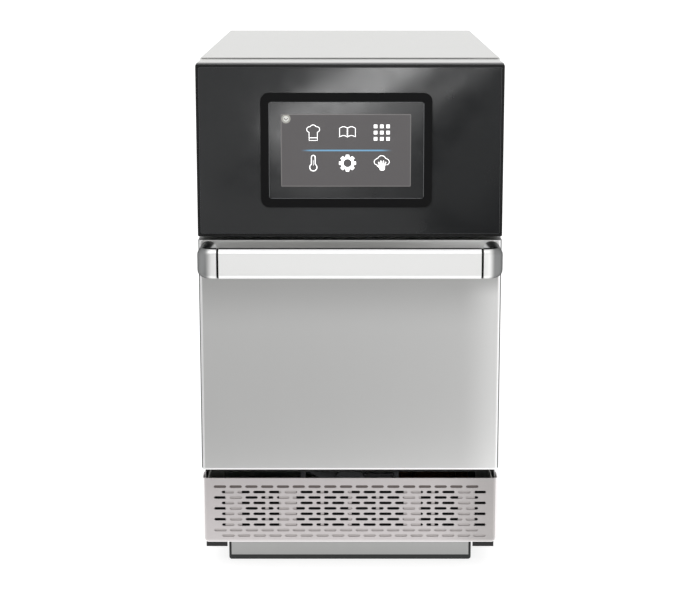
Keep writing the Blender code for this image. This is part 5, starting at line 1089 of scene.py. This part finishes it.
class OVEN_OT_studio(Operator):
    """Adds the floor, the lights and the camera"""

    bl_idname = "oven.studio"
    bl_label = "Studio"

    def execute(self, context):
        scene = context.scene
        scene.view_settings.view_transform = "Standard"
        self.add_floor(scene)
        self.add_cloths(scene)
        self.add_lights(scene)
        self.add_camera(scene)
        return {"FINISHED"}

    def add_plane(self, scene, name, corners, material):
        """A flat piece of the studio between corners."""
        mesh = bpy.data.meshes.new(name)
        mesh.from_pydata(corners, [], [tuple(range(len(corners)))])
        obj = bpy.data.objects.new(name, mesh)
        scene.collection.objects.link(obj)
        obj.data.materials.append(material)
        return obj

    def add_floor(self, scene):
        half = 30.0
        corners = [(-half, -half, 0), (half, -half, 0), (half, half, 0), (-half, half, 0)]
        self.add_plane(scene, "floor", corners, studio_floor(scene.oven_colours.floor))

    def add_cloths(self, scene):
        """Grey and black cloths behind the camera and on the floor, for steel and glass to mirror."""
        left, split, right, top = -3.0, 0.2, 0.75, 2.2
        back, middle, raised = FACE_Y - 3.1, FACE_Y - 1.9, 0.002
        near_left, near_right = (-1.0, FACE_Y - 0.06), (0.32, FACE_Y - 0.4)
        walls = []
        for start, end in ((left, split), (split, right)):
            walls.append([(start, back, 0), (end, back, 0), (end, back, top), (start, back, top)])
        ground = [(x, y, raised) for x, y in ((left, back), (right, back), near_right, near_left)]
        square = (split, back), (right, back), (right, middle), (split, middle)
        dark_ground = [(x, y, 2 * raised) for x, y in square]
        for name, corners, hue in (
            ("wall_cloth", walls[0], "#7c7c7c"),
            ("dark_wall_cloth", walls[1], "#2a2a2a"),
            ("floor_cloth", ground, "#bcbcbc"),
            ("dark_floor_cloth", dark_ground, "#060606"),
        ):
            cloth = self.add_plane(scene, name, corners, studio_cloth(linear(hue)))
            cloth.visible_camera = False
            cloth.visible_shadow = False
            cloth.visible_diffuse = False

    def add_lights(self, scene):
        """A white room, a broad soft sun and four slanting strips of light that the steel mirrors."""
        world = bpy.data.worlds.new("studio")
        world.use_nodes = True
        background = world.node_tree.nodes["Background"]
        background.inputs["Strength"].default_value = 0.95
        background.inputs["Color"].default_value = (1.0, 1.0, 1.0, 1.0)
        scene.world = world
        sun = bpy.data.lights.new("soft_sun", "SUN")
        sun.energy = 0.6
        sun.angle = math.radians(60)
        self.hang(scene, sun, (-1.2, -1.6, 2.6), (0, 0, 0.3))
        strips_y = FACE_Y - 2.3
        for name, size, power, (x, z), roll in (
            ("glare_wide", (0.11, 0.48), 1.2, (0.02, 0.375), -57),
            ("glare_narrow", (0.03, 0.8), 0.25, (0.22, 0.36), -55),
            ("glare_low", (0.36, 0.9), 0.32, (-0.38, 0.34), -50),
            ("glare_right", (0.16, 0.7), 0.09, (0.44, 0.36), -35),
        ):
            light = bpy.data.lights.new(name, "AREA")
            light.shape = "RECTANGLE"
            light.size, light.size_y = size
            light.energy = power
            strip = self.hang(scene, light, (x, strips_y, z), (x, FACE_Y, z))
            strip.rotation_euler.rotate_axis("Z", math.radians(roll))

    def hang(self, scene, light, place, target):
        """Puts a light at a place and turns it to a target."""
        obj = bpy.data.objects.new(light.name, light)
        scene.collection.objects.link(obj)
        obj.location = place
        obj.rotation_euler = (Vector(target) - Vector(place)).to_track_quat("-Z", "Y").to_euler()
        return obj

    def add_camera(self, scene):
        """Straight on and slightly above, tilted down to fit the photograph."""
        distance, height, pitch = 2.0, 0.777, 10.93
        camera = bpy.data.cameras.new("camera")
        camera.lens = 89.3
        camera.sensor_width = 36.0
        camera.shift_y = -0.06
        obj = bpy.data.objects.new("camera", camera)
        scene.collection.objects.link(obj)
        obj.location = (0.0, FACE_Y - distance, height)
        obj.rotation_euler = (math.radians(90 - pitch), 0.0, 0.0)
        scene.camera = obj


class OVEN_PT_look(Panel):
    """Lists the steps of the oven's look"""

    bl_idname = "OVEN_PT_look"
    bl_label = "Speed Oven"
    bl_space_type = "VIEW_3D"
    bl_region_type = "UI"
    bl_category = "Speed Oven"

    def draw(self, context):
        for step in STEPS:
            self.layout.operator(step.bl_idname)
        for group in (context.scene.oven_sizes, context.scene.oven_colours):
            for name in type(group).__annotations__:
                self.layout.prop(group, name)


STEPS = (
    OVEN_OT_steel_sheets,
    OVEN_OT_painted_cabinet,
    OVEN_OT_head_glass,
    OVEN_OT_touch_screen,
    OVEN_OT_handle,
    OVEN_OT_grille,
    OVEN_OT_feet,
    OVEN_OT_oven_cavity,
    OVEN_OT_works,
    OVEN_OT_fasteners,
    OVEN_OT_studio,
)
CLASSES = (SpeedOvenSizes, SpeedOvenColours, *STEPS, OVEN_PT_look)


def register():
    for cls in CLASSES:
        bpy.utils.register_class(cls)
    bpy.types.Scene.oven_sizes = PointerProperty(type=SpeedOvenSizes)
    bpy.types.Scene.oven_colours = PointerProperty(type=SpeedOvenColours)


def unregister():
    del bpy.types.Scene.oven_colours
    del bpy.types.Scene.oven_sizes
    for cls in reversed(CLASSES):
        bpy.utils.unregister_class(cls)


def main():
    register()
    for step in STEPS:
        group, name = step.bl_idname.split(".")
        getattr(getattr(bpy.ops, group), name)()


if __name__ == "__main__":
    main()
